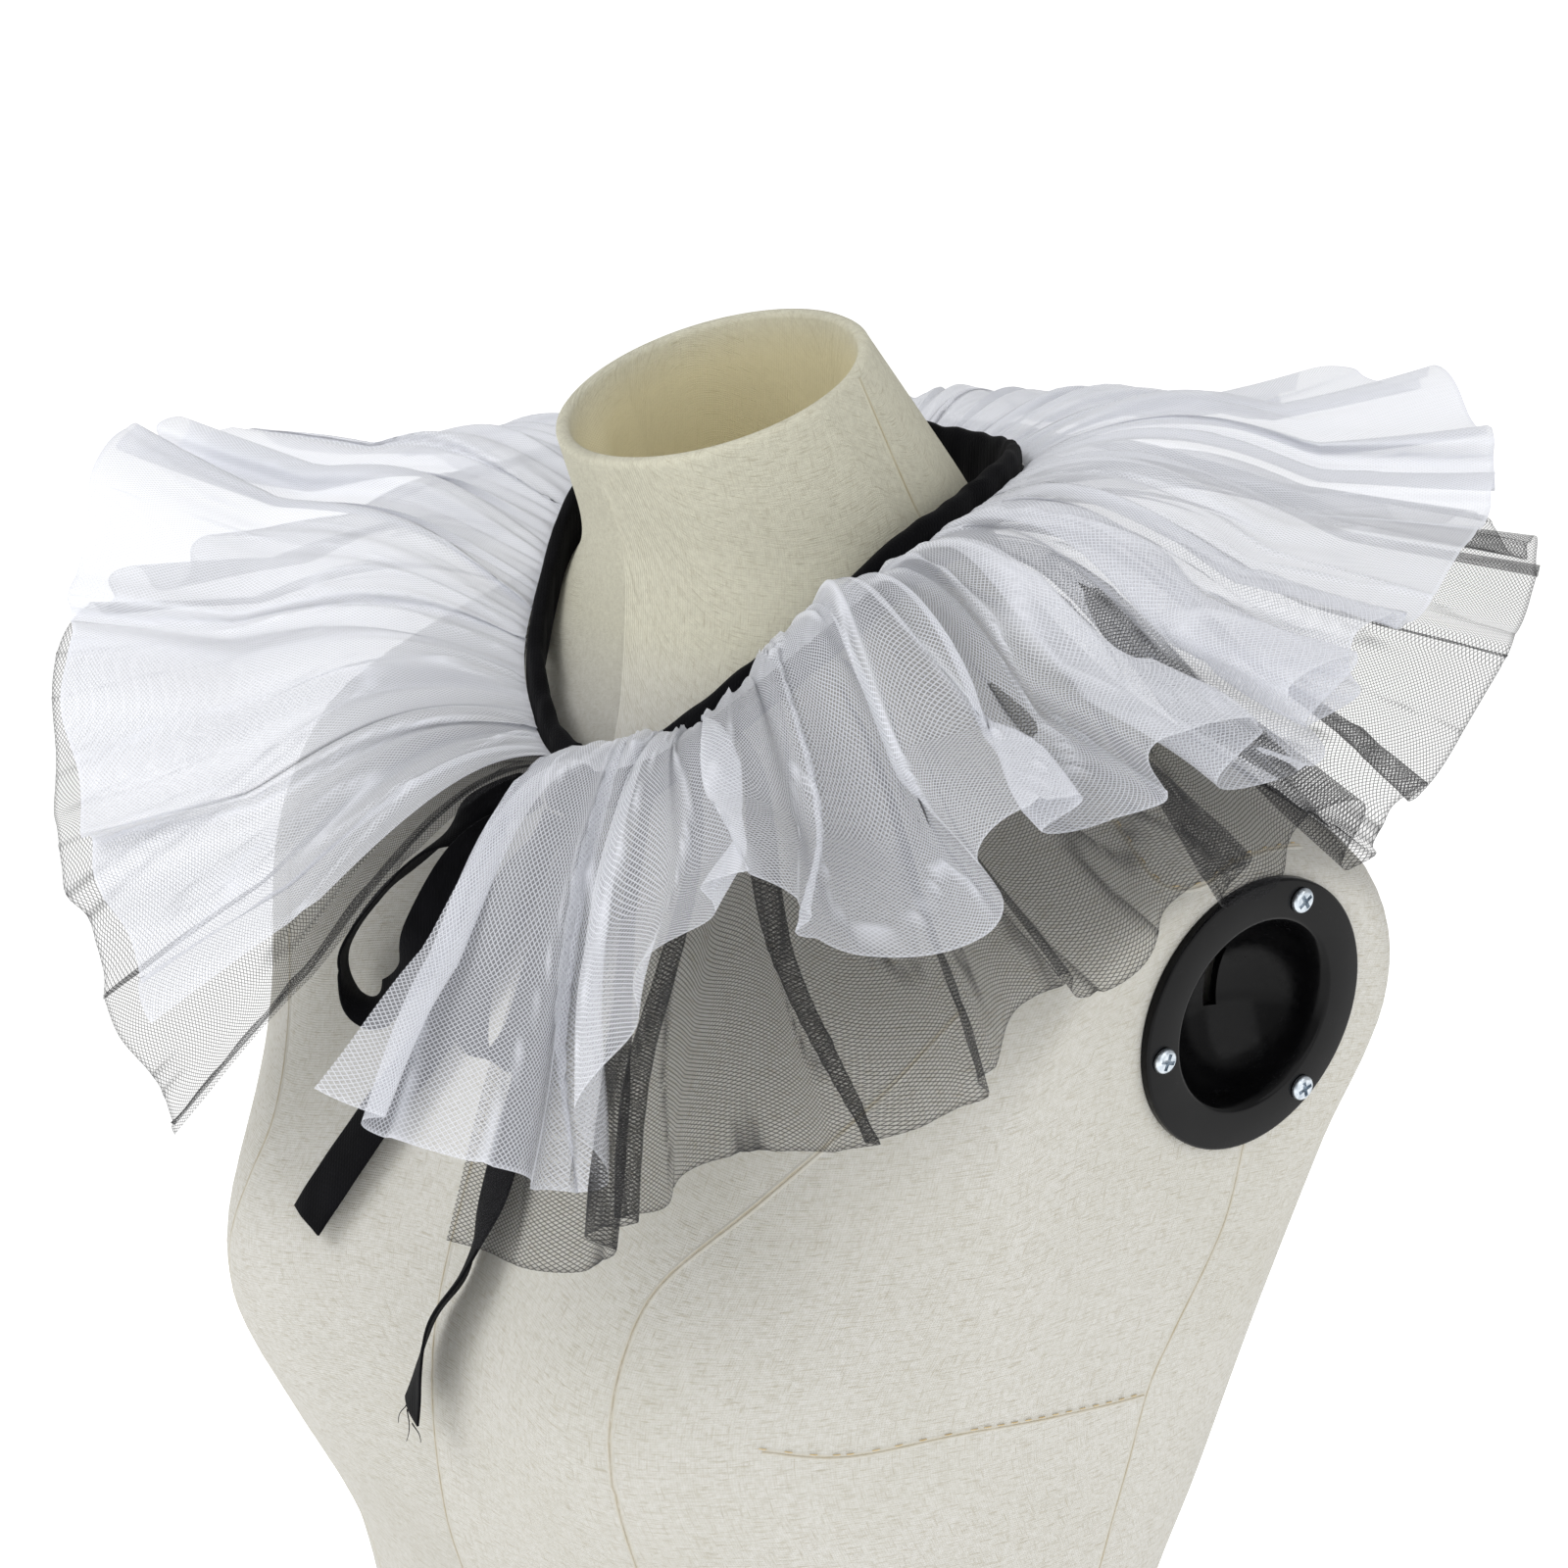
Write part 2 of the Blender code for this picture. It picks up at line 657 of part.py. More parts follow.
def ruffle_point(angle, along, depth, column, root_lift, clearance):
    """One point of a ruffle: angle round the neck, and along from gathered edge to hem."""
    degrees = math.degrees(angle)
    rise = smooth_value(DRAPE, "angle", column, degrees)
    swing = math.radians(smooth_value(DRAPE, "angle", "swing", degrees))
    reach = math.sqrt(depth * depth - rise * rise)
    straight = band_outward(angle)
    outward = Matrix.Rotation(swing * along, 3, "Z") @ straight
    root = band_point(angle) + straight * (BAND_THICKNESS * 0.5 + 2 * SEAM_GAP)
    root.z += root_lift
    sprung = min(along / SPRING_PART, 1.0)
    puff = smooth_value(PUFFS, "angle", column, degrees) * math.sin(math.pi * sprung ** PUFF_CURVE)
    lift = SPRING * math.sin(math.pi * sprung) + puff + rise * along ** FALL_CURVE
    middle = root + outward * (reach * along) + Vector((0, 0, lift))

    steepness = math.atan2(rise, reach)
    facing = Vector((0, 0, 1)) * math.cos(steepness) - outward * math.sin(steepness)
    phase = WAVES * angle + ripple_sum(PLACE_RIPPLES, angle)
    grown = ROOT_WAVE * min(along / ROWS[1], 1.0) + (1 - ROOT_WAVE) * along ** WAVE_GROWTH
    height = WAVE_HEIGHT * (MEAN_HEIGHT + ripple_sum(HEIGHT_RIPPLES, angle)) * grown
    sideways = outward.cross(facing).normalized() * (FLUTE_ROLL * height * math.sin(2 * phase))
    point = middle + facing * (height * math.sin(phase)) + sideways
    return lifted_off(point, clearance) if along > 0 else point


def ruffle(name, depth, column, root_lift, span, clearance, finish):
    """A gathered tulle strip, open at the centre front, as a thin wall."""
    start, end = (math.radians(degrees) for degrees in span)
    steps = WAVES * POINTS_PER_WAVE
    rings = []
    for along in ROWS:
        ring = []
        for step in range(steps + 1):
            angle = start + (end - start) * step / steps
            ring.append(ruffle_point(angle, along, depth, column, root_lift, clearance))
        rings.append(ring)
    made = add_object(name, loft(rings, False, False, False), finish)
    wall = made.modifiers.new("wall", "SOLIDIFY")
    wall.thickness = TULLE_WALL
    wall.offset = 0.0
    return made


def main():
    """Clear the scene and build every piece."""
    for old in list(bpy.data.objects):
        bpy.data.objects.remove(old, do_unlink=True)
    linen = material("linen_cover", (0.78, 0.74, 0.62), 0.9)
    plastic = material("black_plastic", (0.012, 0.012, 0.013), 0.35)
    steel = material("zinc_steel", (0.62, 0.64, 0.66), 0.3, 1.0)
    black_cloth = material("black_cotton", (0.010, 0.010, 0.012), 0.85)
    white_tulle = material("white_tulle", (0.86, 0.88, 0.90), 0.6)
    black_tulle = material("black_tulle", (0.05, 0.05, 0.055), 0.6)

    dress_form(linen)
    for side, sign in (("left", 1), ("right", -1)):
        arm_socket(side, sign, plastic)
        for number, degrees in enumerate(SCREW_ANGLES, 1):
            socket_screw(f"socket_screw_{side}_{number}", sign, math.radians(degrees), steel)
    neck_band(black_cloth)
    tie_knot(black_cloth)
    for name, passes in TIE_ROUTES.items():
        tape(name, passes, "loop" in name, black_cloth)
    ruffle(
        "ruffle_white", WHITE_DEPTH, "white", WHITE_ROOT_LIFT, WHITE_SPAN, WHITE_CLEARANCE, white_tulle
    )
    ruffle(
        "ruffle_black", BLACK_DEPTH, "black", BLACK_ROOT_LIFT, BLACK_SPAN, BLACK_CLEARANCE, black_tulle
    )


main()
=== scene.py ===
"""Looks for a two-layer tulle ruff collar, tied with a tape bow and standing on a dress form.

The file is laid out as an add-on: each operator makes one group of pieces around the fixed frame.
Every size is in metres and +Z is up. The form faces -Y, so the wearer's left is +X.
"""

import math
import random
from collections import namedtuple
from functools import lru_cache

import bmesh
import bpy
from bpy.props import FloatProperty, IntProperty, PointerProperty, StringProperty
from mathutils import Matrix, Vector, noise
from mathutils.bvhtree import BVHTree


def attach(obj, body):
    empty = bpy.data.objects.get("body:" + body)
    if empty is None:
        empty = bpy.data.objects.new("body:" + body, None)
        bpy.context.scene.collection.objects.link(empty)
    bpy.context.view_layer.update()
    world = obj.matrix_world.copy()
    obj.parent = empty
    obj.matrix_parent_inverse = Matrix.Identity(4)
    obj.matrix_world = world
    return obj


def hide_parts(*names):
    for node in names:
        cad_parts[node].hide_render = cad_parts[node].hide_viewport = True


bl_info = {
    "name": "Tulle ruff collar",
    "version": (1, 0, 0),
    "blender": (4, 5, 0),
    "location": "3D View > Sidebar > Ruff",
    "description": "Dresses a tulle ruff collar and the form it stands on",
    "category": "Object",
}

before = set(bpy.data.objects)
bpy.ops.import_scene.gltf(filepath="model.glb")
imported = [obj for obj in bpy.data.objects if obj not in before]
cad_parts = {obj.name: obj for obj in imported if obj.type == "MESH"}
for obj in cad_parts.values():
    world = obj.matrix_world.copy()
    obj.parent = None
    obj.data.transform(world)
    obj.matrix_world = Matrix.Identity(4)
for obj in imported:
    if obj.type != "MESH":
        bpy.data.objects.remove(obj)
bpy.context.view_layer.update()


def table(kind, *rows):
    """Turn plain rows of values into rows with named columns."""
    return tuple(kind(*row) for row in rows)


# Camera: where it stands, the point it looks at, how far it leans, and its lens.
CAMERA_PLACE = Vector((0.7911, -0.7827, 0.8839))
CAMERA_AIM = Vector((0.0025, 0.0107, 0.5586))
CAMERA_LEAN = math.radians(1.42)
CAMERA_LENS_MM = 83.41
CAMERA_SENSOR_MM = 36.0

# Heights on the form are given from the neck point, where the shoulder slope meets the neck.
NECK_POINT = 0.620
SEAM_GAP = 0.0003

# Dress form: one row for each level. Middle is where the side line runs, and fullness is 2
# for an ellipse and less for a ridge.
Section = namedtuple("Section", "height half_width front back middle fullness")
FORM_SECTIONS = table(
    Section,
    (-0.620, 0.172, 0.106, 0.128, 0.010, 2.3), (-0.560, 0.180, 0.110, 0.138, 0.010, 2.3),
    (-0.500, 0.173, 0.108, 0.134, 0.010, 2.3), (-0.440, 0.153, 0.105, 0.120, 0.008, 2.2),
    (-0.380, 0.138, 0.101, 0.110, 0.008, 2.2), (-0.320, 0.144, 0.112, 0.114, 0.008, 2.2),
    (-0.270, 0.156, 0.128, 0.124, 0.010, 2.3), (-0.210, 0.170, 0.131, 0.134, 0.014, 2.4),
    (-0.150, 0.184, 0.114, 0.138, 0.020, 2.7), (-0.100, 0.199, 0.094, 0.135, 0.026, 3.0),
    (-0.065, 0.198, 0.074, 0.127, 0.026, 2.7), (-0.045, 0.180, 0.064, 0.118, 0.024, 2.0),
    (-0.030, 0.157, 0.060, 0.110, 0.021, 1.6), (-0.015, 0.128, 0.0575, 0.103, 0.018, 1.35),
    (0.000, 0.096, 0.057, 0.096, 0.015, 1.35), (0.013, 0.070, 0.0565, 0.089, 0.013, 1.65),
    (0.026, 0.0560, 0.0575, 0.082, 0.012, 2.0),
)
FORM_RING_POINTS = 160
FORM_LEVELS = 96
FORM_CROWDING = 1.35
NECK_LEVELS = 18
HOLLOW_LEVELS = 12

# Passes that even out the linen where the shoulders turn up into the neck, and how many rings they reach.
RELAX_PASSES = 30
RELAXED_BELOW = 14
RELAXED_ABOVE = 3

# Bust: height, distance from the centre line and how far each side stands proud.
BUST_HEIGHT = -0.212
BUST_APART = 0.087
BUST_PROUD = 0.026
BUST_WIDTH = 0.050
BUST_TALL = 0.055

# Neck of the form, an open tube that leans forward.
NECK_RIM_CENTRE = Vector((0.0, -0.022, 0.072))
NECK_RIM_HALF_WIDTH = 0.047
NECK_RIM_HALF_DEPTH = 0.052
NECK_RIM_TILT = math.radians(20)
NECK_WALL = 0.0045
NECK_HOLLOW_DEPTH = 0.075
NECK_FLOOR_SHRINK = 0.80
NECK_RIM_ROUNDING = 0.002
NECK_RIM_STEPS = 6
NECK_CENTRE = NECK_RIM_CENTRE + Vector((0.0, 0.0, NECK_POINT))
NECK_AXIS = Vector((0.0, -math.sin(NECK_RIM_TILT), math.cos(NECK_RIM_TILT)))
NECK_ACROSS = Vector((0.0, math.cos(NECK_RIM_TILT), math.sin(NECK_RIM_TILT)))

# The slack fold in the neck's lining: angles in degrees from the centre front.
LINING_FOLD_HEIGHT = 0.004
LINING_FOLD_ANGLE = -75
LINING_FOLD_LEAN = 25
LINING_FOLD_WIDTH = 14
LINING_SHADE_DEPTH = 0.012

# Arm plates and the sockets screwed to them. A socket and a screw are modelled about the Z axis, and
# then turned so that they face straight out of the plate.
TURNED_OUT = Matrix.Rotation(math.radians(90), 4, "Y")
PLATE_X = 0.1825
PLATE_YAW = math.radians(7)
PLATE_PITCH = math.radians(5)
PLATE_SOFTNESS = 0.0022
SOCKET_CENTRE_Y = 0.024
SOCKET_CENTRE_HEIGHT = -0.093
FLANGE_RADIUS = 0.0425
FLANGE_THICKNESS = 0.003
FLANGE_EDGE = 0.0009
CUP_RADIUS = 0.0285
CUP_LIP = 0.0015
CUP_DEPTH = 0.026
CUP_WALL = 0.0022
CUP_STEPS = 14
CUP_FLOOR_RADIUS = 0.0008
RECESS_RADIUS = 0.0325
RECESS_DEPTH = 0.032
CUTTER_OVERRUN = 0.01
SLOT_LENGTH = 0.019
SLOT_WIDTH = 0.0045
SLOT_OFFSET = 0.006
SLOT_RAISE = 0.002
ROUND_SIDES = 96
SCREW_CIRCLE = 0.0365
SCREW_RADIUS = 0.0039
SCREW_HEIGHT = 0.0018
SCREW_SIDES = 48
SCREW_EDGE = 0.0014
SCREW_ANGLES = (70, 190, 310)
SCREW_TURN = 37
CROSS_LENGTH = 0.0052
CROSS_WIDTH = 0.0013
CROSS_DEPTH = 0.0016

# Neckband.
BAND_HALF_WIDTH = 0.0625
BAND_HALF_DEPTH = 0.0825
BAND_CENTRE_Y = 0.009
BAND_LEVEL = 0.0105
BAND_TILT = 0.039
BAND_SADDLE = 0.015
BAND_THICKNESS = 0.0060
BAND_HEIGHT = 0.0200
BAND_OPEN = 2.5
BAND_COARSE_CORNERS = 8
BAND_BOXINESS_ACROSS = 0.7
BAND_BOXINESS_ALONG = 0.6
BAND_CLEARANCE = 0.0016
BAND_STEPS = 420
BAND_CORNERS = 24

# Wrinkles of the neckband: how close they stand, how they slant across it and how far they wander.
WRINKLE_CLOSENESS = 34
WRINKLE_SLANT = 1.3
WRINKLE_WANDER = 2.2

# Ties and the route of each tape: the x, y and z that it passes, and which way its
# width points there.
TAPE_WIDTH = 0.016
TAPE_WALL = 0.0009
TAPE_PINCH = 0.42
TAPE_STEPS = 18
TAPE_ACROSS = 10
TAPE_CUPPING = 0.0007
TAPE_KINK = 0.0006
PINCH_FOLD = 0.0007
KNOT_CENTRE = Vector((0.0, -0.0814, 0.5735))
KNOT_SIZE = Vector((0.0135, 0.0095, 0.0140))
KNOT_WRAPS = 3
KNOT_WRAP_RELIEF = 0.00035
KNOT_BOXINESS = 0.75
KNOT_ROWS = 40
KNOT_SIDES = 56
ALONG_Z = Vector((0.0, -0.25, 1.0))
EDGE_ON = Vector((0.66, -0.70, 0.27))
FACING = Vector((0.70, 0.51, -0.46))
HALF_TURNED = Vector((0.80, -0.42, -0.42))
LEVEL = Vector((1.0, 0.0, 0.0))
TIE_ROUTES = {
    "bow_loop_right": (
        (-0.0081, -0.0805, 0.5755, ALONG_Z), (-0.0170, -0.0900, 0.5690, FACING),
        (-0.0350, -0.1040, 0.5510, EDGE_ON), (-0.0520, -0.1110, 0.5330, EDGE_ON),
        (-0.0640, -0.1150, 0.5140, EDGE_ON), (-0.0610, -0.1160, 0.5035, EDGE_ON),
        (-0.0450, -0.1180, 0.5010, HALF_TURNED), (-0.0290, -0.1200, 0.5130, HALF_TURNED),
        (-0.0220, -0.1140, 0.5330, FACING), (-0.0170, -0.1030, 0.5550, FACING),
        (-0.0081, -0.0845, 0.5705, ALONG_Z),
    ),
    "bow_loop_left": (
        (0.0083, -0.0805, 0.5750, ALONG_Z), (0.0160, -0.0890, 0.5660, LEVEL),
        (0.0180, -0.0965, 0.5460, LEVEL), (0.0180, -0.1060, 0.5240, LEVEL),
        (0.0170, -0.1135, 0.5060, LEVEL), (0.0150, -0.1215, 0.5000, LEVEL),
        (0.0130, -0.1285, 0.5080, LEVEL), (0.0110, -0.1255, 0.5260, LEVEL),
        (0.0100, -0.1140, 0.5470, LEVEL), (0.0110, -0.0980, 0.5630, LEVEL),
        (0.0083, -0.0850, 0.5705, ALONG_Z),
    ),
    "tie_tail_right": (
        (-0.0040, -0.0825, 0.5658, LEVEL), (-0.0060, -0.0860, 0.5530, LEVEL),
        (-0.0100, -0.0935, 0.5350, LEVEL), (-0.0160, -0.1025, 0.5150, LEVEL),
        (-0.0260, -0.1125, 0.4920, LEVEL), (-0.0360, -0.1225, 0.4720, LEVEL),
        (-0.0440, -0.1315, 0.4530, LEVEL), (-0.0520, -0.1410, 0.4330, LEVEL),
    ),
    "tie_tail_left": (
        (0.0040, -0.0825, 0.5658, LEVEL), (0.0075, -0.0860, 0.5530, LEVEL),
        (0.0110, -0.0930, 0.5350, LEVEL), (0.0150, -0.1020, 0.5150, LEVEL),
        (0.0170, -0.1110, 0.4920, HALF_TURNED), (0.0200, -0.1260, 0.4600, HALF_TURNED),
        (0.0180, -0.1350, 0.4380, EDGE_ON), (0.0090, -0.1410, 0.4180, EDGE_ON),
        (0.0020, -0.1430, 0.3880, HALF_TURNED),
    ),
}

# Threads that have come loose at the cut end of the left tail: the place across the tape, and how far
# the thread runs on from there in x, y and z.
FRAYS = (
    (-0.0050, -0.0020, -0.0010, -0.0075), (-0.0010, 0.0015, -0.0020, -0.0095),
    (0.0055, 0.0045, -0.0010, -0.0050),
)
FRAY_RADIUS = 0.00022
FRAY_STEPS = 8
FRAY_SIDES = 5

# Ruffles: gathered strips of net. The first values are those of the frame's walls.
Layer = namedtuple("Layer", "node column depth start end root_lift clearance cut_length roll")
WHITE_LAYER = Layer("ruffle_white", "white", 0.146, 7.0, 351.0, 0.0030, 0.009, 1.85, 0.95)
BLACK_LAYER = Layer("ruffle_black", "black", 0.162, 17.0, 350.0, -0.0022, 0.003, 1.75, 0.45)
ROOT_ROW = 0.14
SPRING = 0.010
SPRING_PART = 0.625
FALL_CURVE = 1.35
WAVES = 26
WAVE_HEIGHT = 0.0115
ROOT_WAVE = 0.08
WAVE_GROWTH = 0.95
MEAN_HEIGHT = 0.8
BAND_RADIUS = 0.073
SWAY = 0.016
PUFF_CROWDING = 0.6
Ripple = namedtuple("Ripple", "strength per_turn phase")
PLACE_RIPPLES = table(
    Ripple,
    (1.0, 3, 0.7), (0.7, 7, 2.1), (0.5, 11, 0.0),
)
HEIGHT_RIPPLES = table(
    Ripple,
    (0.35, 5, 1.0), (0.20, 9, 0.3),
)

# Soft creases between the waves, and the fine gathers at the band.
CREASE_RIPPLES = table(
    Ripple,
    (0.0015, 61, 0.4), (0.0012, 89, 1.9), (0.0007, 127, 3.1),
)
GATHERS = 170
GATHER_HEIGHT = 0.0016
GATHER_FADE = 0.16
CRUMPLE_HEIGHT = 0.004
CREASE_LINE_HEIGHT = 0.0016
CREASE_LINE_WIDTH = 0.024
NET_COLUMNS = 1150
NET_ROWS = 34
ROW_CROWDING = 1.3
HEM_WIDTH = 0.0016

# How closed the net looks, from 0 for the flat net to 1: where it is gathered at the band, and how far
# down that reaches, on a fold, along the cut hem, on a crease, and at the most.
CLOSED_AT_BAND = 0.80
CLOSED_REACH = 0.10
CLOSED_ON_FOLD = 0.40
CLOSED_AT_HEM = 0.40
CLOSED_ON_CREASE = 0.62
CLOSED_MOST = 0.92

# How far the hem of each ruffle stands above its gathered edge, all round the neck,
# and how far, in degrees, the strip swings aside from straight out.
Drape = namedtuple("Drape", "angle white black swing")
DRAPE = table(
    Drape,
    (0, -0.020, -0.095, 2), (8, -0.050, -0.100, 2), (15, -0.086, -0.104, 3), (27, -0.082, -0.104, 2),
    (37, -0.010, -0.090, 0), (52, -0.032, -0.080, 0), (66, -0.016, -0.058, 0), (84, -0.026, -0.050, 0),
    (98, -0.014, -0.060, 0), (110, -0.006, -0.044, 0), (120, 0.002, -0.022, 0), (132, 0.008, -0.014, 0),
    (145, 0.018, -0.018, 0), (158, 0.024, -0.022, 0), (172, 0.012, -0.028, 0), (190, -0.010, -0.036, 0),
    (220, -0.030, -0.050, 0), (245, -0.038, -0.060, 0), (260, -0.029, -0.054, 0),
    (275, -0.012, -0.042, 0), (290, 0.011, -0.030, 0), (306, 0.040, -0.018, 0), (318, 0.024, -0.040, -3),
    (332, -0.036, -0.086, -10), (345, -0.074, -0.112, -20), (360, -0.090, -0.124, -30),
)

# How far the net springs up beside the band before it falls, over the even spring.
Puff = namedtuple("Puff", "angle white black")
PUFFS = table(
    Puff,
    (0, 0.004, 0.0), (9, 0.006, 0.0), (17, 0.010, 0.0), (24, 0.012, 0.0), (32, 0.003, 0.0),
    (42, 0.002, 0.0), (52, 0.016, 0.004), (64, 0.014, 0.004), (78, 0.006, 0.002), (120, 0.004, 0.0),
    (240, 0.002, 0.0), (330, 0.0, 0.0), (360, 0.0, 0.0),
)

# How lively the net is round the neck: the share of the full wave height and of the crumples,
# and how far the small folds of the white net close it, away from the front.
Liveliness = namedtuple("Liveliness", "angle waves crumples veil")
LIVELINESS = table(
    Liveliness,
    (0, 0.9, 0.9, 0.0), (30, 1.0, 1.0, 0.0), (90, 1.0, 0.9, 0.06), (128, 0.45, 0.25, 0.40),
    (240, 0.40, 0.20, 0.42), (290, 0.45, 0.25, 0.42), (325, 0.80, 0.50, 0.34), (342, 0.90, 0.60, 0.12),
    (360, 1.0, 0.7, 0.0),
)
VEIL_REACH = 0.30
VEIL_AT_BAND = 0.8

# Pressed pleats, where the net folds over itself: the angle, half the angle that it takes up,
# how far the fold is thrown sideways at the hem, and how far its line leans from band to hem.
Pleat = namedtuple("Pleat", "angle half throw lean")
PLEATS = {
    "white": table(
        Pleat,
        (22, 1.6, 0.006, 5), (40, 3.4, 0.010, 5), (49, 1.4, 0.004, -4), (63, 2.6, 0.007, 6),
        (79, 1.8, 0.005, -5), (93, 2.4, 0.006, 5), (104, 1.6, 0.004, -4), (318, 1.8, 0.005, 5),
        (337, 2.4, 0.007, -4),
    ),
    "black": table(
        Pleat,
        (27, 2.0, 0.006, 3), (34, 2.4, 0.007, -4), (46, 2.8, 0.009, 8), (57, 1.5, 0.005, -3),
        (61, 1.2, 0.004, 4), (73, 1.7, 0.005, 7), (84, 1.2, 0.004, -5), (93, 1.8, 0.005, 5),
        (105, 2.4, 0.007, -6), (114, 1.2, 0.004, 3), (326, 1.8, 0.006, 4), (335, 2.4, 0.008, -4),
    ),
}
PLEAT_GAP = 0.0012
PLEAT_LIFT = 2.6
PLEAT_TAPER = 0.45
PLEAT_EDGE = 0.33
PLEAT_EDGE_WIDTH = 0.09
STRAY_PLEATS = 9
STRAY_FROM = 125
STRAY_TO = 312

# Seams of the linen cover, as the x, y and z of the places that each one passes. Those of the side are
# mirrored.
SIDE_SEAMS = {
    "shoulder": (
        (0.062, 0.012, 0.640), (0.110, 0.006, 0.606), (0.150, -0.004, 0.582), (0.174, -0.006, 0.566),
        (0.179, 0.022, 0.573), (0.178, 0.052, 0.571),
    ),
    "princess": (
        (0.150, -0.064, 0.540), (0.136, -0.082, 0.514), (0.111, -0.102, 0.481), (0.092, -0.121, 0.456),
        (0.088, -0.131, 0.438), (0.090, -0.141, 0.416), (0.089, -0.137, 0.397), (0.086, -0.125, 0.350),
        (0.074, -0.105, 0.280), (0.068, -0.098, 0.240), (0.078, -0.100, 0.150), (0.082, -0.105, 0.060),
        (0.082, -0.103, 0.003),
    ),
    "dart": (
        (0.122, -0.112, 0.410), (0.137, -0.093, 0.407), (0.158, -0.056, 0.411), (0.168, 0.004, 0.406),
    ),
    "side": (
        (0.181, 0.030, 0.485), (0.177, 0.026, 0.457), (0.172, 0.012, 0.426), (0.169, 0.005, 0.407),
        (0.162, 0.004, 0.379), (0.155, 0.004, 0.350), (0.143, 0.006, 0.300), (0.138, 0.008, 0.240),
        (0.160, 0.010, 0.160), (0.180, 0.010, 0.060), (0.173, 0.010, 0.003),
    ),
    "back_princess": (
        (0.060, 0.105, 0.612), (0.078, 0.120, 0.560), (0.080, 0.132, 0.480), (0.072, 0.122, 0.400),
        (0.062, 0.104, 0.300), (0.060, 0.104, 0.240), (0.074, 0.122, 0.150), (0.080, 0.128, 0.060),
        (0.078, 0.122, 0.003),
    ),
    "neck_side": (
        (0.043, -0.003, 0.697), (0.049, 0.005, 0.676), (0.055, 0.015, 0.651),
    ),
}
MIDDLE_SEAMS = {
    "centre_front": (
        (0.0, -0.085, 0.560), (0.0, -0.108, 0.489), (0.0, -0.127, 0.431), (0.0, -0.132, 0.389),
        (0.0, -0.120, 0.320), (0.0, -0.101, 0.240), (0.0, -0.108, 0.100), (0.0, -0.106, 0.003),
    ),
    "centre_back": (
        (0.0, 0.085, 0.640), (0.0, 0.110, 0.590), (0.0, 0.136, 0.480), (0.0, 0.122, 0.380),
        (0.0, 0.110, 0.240), (0.0, 0.134, 0.100), (0.0, 0.128, 0.003),
    ),
}
SEAM_STEP = 0.003
SEAM_FINENESS = 24
SEAM_PUCKER = 0.35
# Half-width of the painted shade along each seam's groove, which also carries the tan of the thread.
GROOVE_REACH = 0.0007

# Outline across a seam: distance from its line and height over the cover.
SEAM_PROFILE = (
    (-0.0016, -0.00025), (-0.0011, 0.00010), (-0.0006, 0.00030), (-0.0002, 0.00018),
    (0.0, -0.00012),
    (0.0002, 0.00018), (0.0006, 0.00030), (0.0011, 0.00010), (0.0016, -0.00025),
)
STITCH_PITCH = 0.0044
STITCH_LENGTH = 0.0024
STITCH_RADIUS = 0.00020
STITCH_STEPS = 6
STITCH_SIDES = 6
STITCH_ASIDE = 0.0009
STITCH_RISE = 0.00035
TOPSTITCHED = ("shoulder", "dart")

# Scale at which a wave texture repeats once in a metre.
WAVE_TEXTURE_PERIOD = 2 * math.pi / 20

# How each net takes light: the share of a flat patch that its haze and its threads cover, and the angle
# of its two thread directions to the strip's depth.
NetLook = namedtuple("NetLook", "roughness sheen ground_cover yarn_cover thread_angle")
WHITE_LOOK = NetLook(0.55, 0.25, 0.26, 0.46, math.radians(33))
BLACK_LOOK = NetLook(0.70, 0.05, 0.12, 0.66, math.radians(58))

# Studio: the floor lies just under the form, and both lights point at the collar.
FLOOR_LEVEL = -0.0006
FLOOR_SIZE = 40.0
KEY_PLACE = Vector((-0.55, -1.35, 1.75))
KEY_SIZE = 1.1
FILL_PLACE = Vector((1.7, -0.3, 1.3))
FILL_SIZE = 2.0
LIGHT_AIM = Vector((0.0, 0.0, 0.50))
# Light goes through up to this many layers of net.
NET_LAYERS_PASSED = 24


def linear(hex_colour):
    """Turn an sRGB hex colour such as E4DFCF into linear red, green, blue and alpha."""
    parts = [int(hex_colour[i:i + 2], 16) / 255 for i in (0, 2, 4)]
    return (*[p / 12.92 if p <= 0.04045 else ((p + 0.055) / 1.055) ** 2.4 for p in parts], 1.0)


def smooth_value(rows, key, column, position):
    """Read one column of a table at any position, on a smooth curve through its rows."""
    keys = [getattr(row, key) for row in rows]
    values = [getattr(row, column) for row in rows]
    position = min(max(position, keys[0]), keys[-1])
    index = max(i for i in range(len(keys) - 1) if keys[i] <= position)
    span = keys[index + 1] - keys[index]
    fraction = (position - keys[index]) / span

    def slope(i):
        before = max(i - 1, 0)
        after = min(i + 1, len(keys) - 1)
        return (values[after] - values[before]) / (keys[after] - keys[before])

    square = fraction * fraction
    cube = square * fraction
    return (
        (2 * cube - 3 * square + 1) * values[index]
        + (cube - 2 * square + fraction) * span * slope(index)
        + (3 * square - 2 * cube) * values[index + 1]
        + (cube - square) * span * slope(index + 1)
    )


def eased(value):
    """Smooth step from 0 to 1."""
    value = min(max(value, 0.0), 1.0)
    return value * value * (3 - 2 * value)


def round_power(value, power):
    """Raise the size of a sine or cosine to a power and keep its sign."""
    return math.copysign(abs(value) ** power, value)


@lru_cache(maxsize=60000)
def form_level(height):
    """Half-width, front, back, middle and fullness of the torso at one height."""
    columns = ("half_width", "front", "back", "middle", "fullness")
    return [smooth_value(FORM_SECTIONS, "height", column, height) for column in columns]


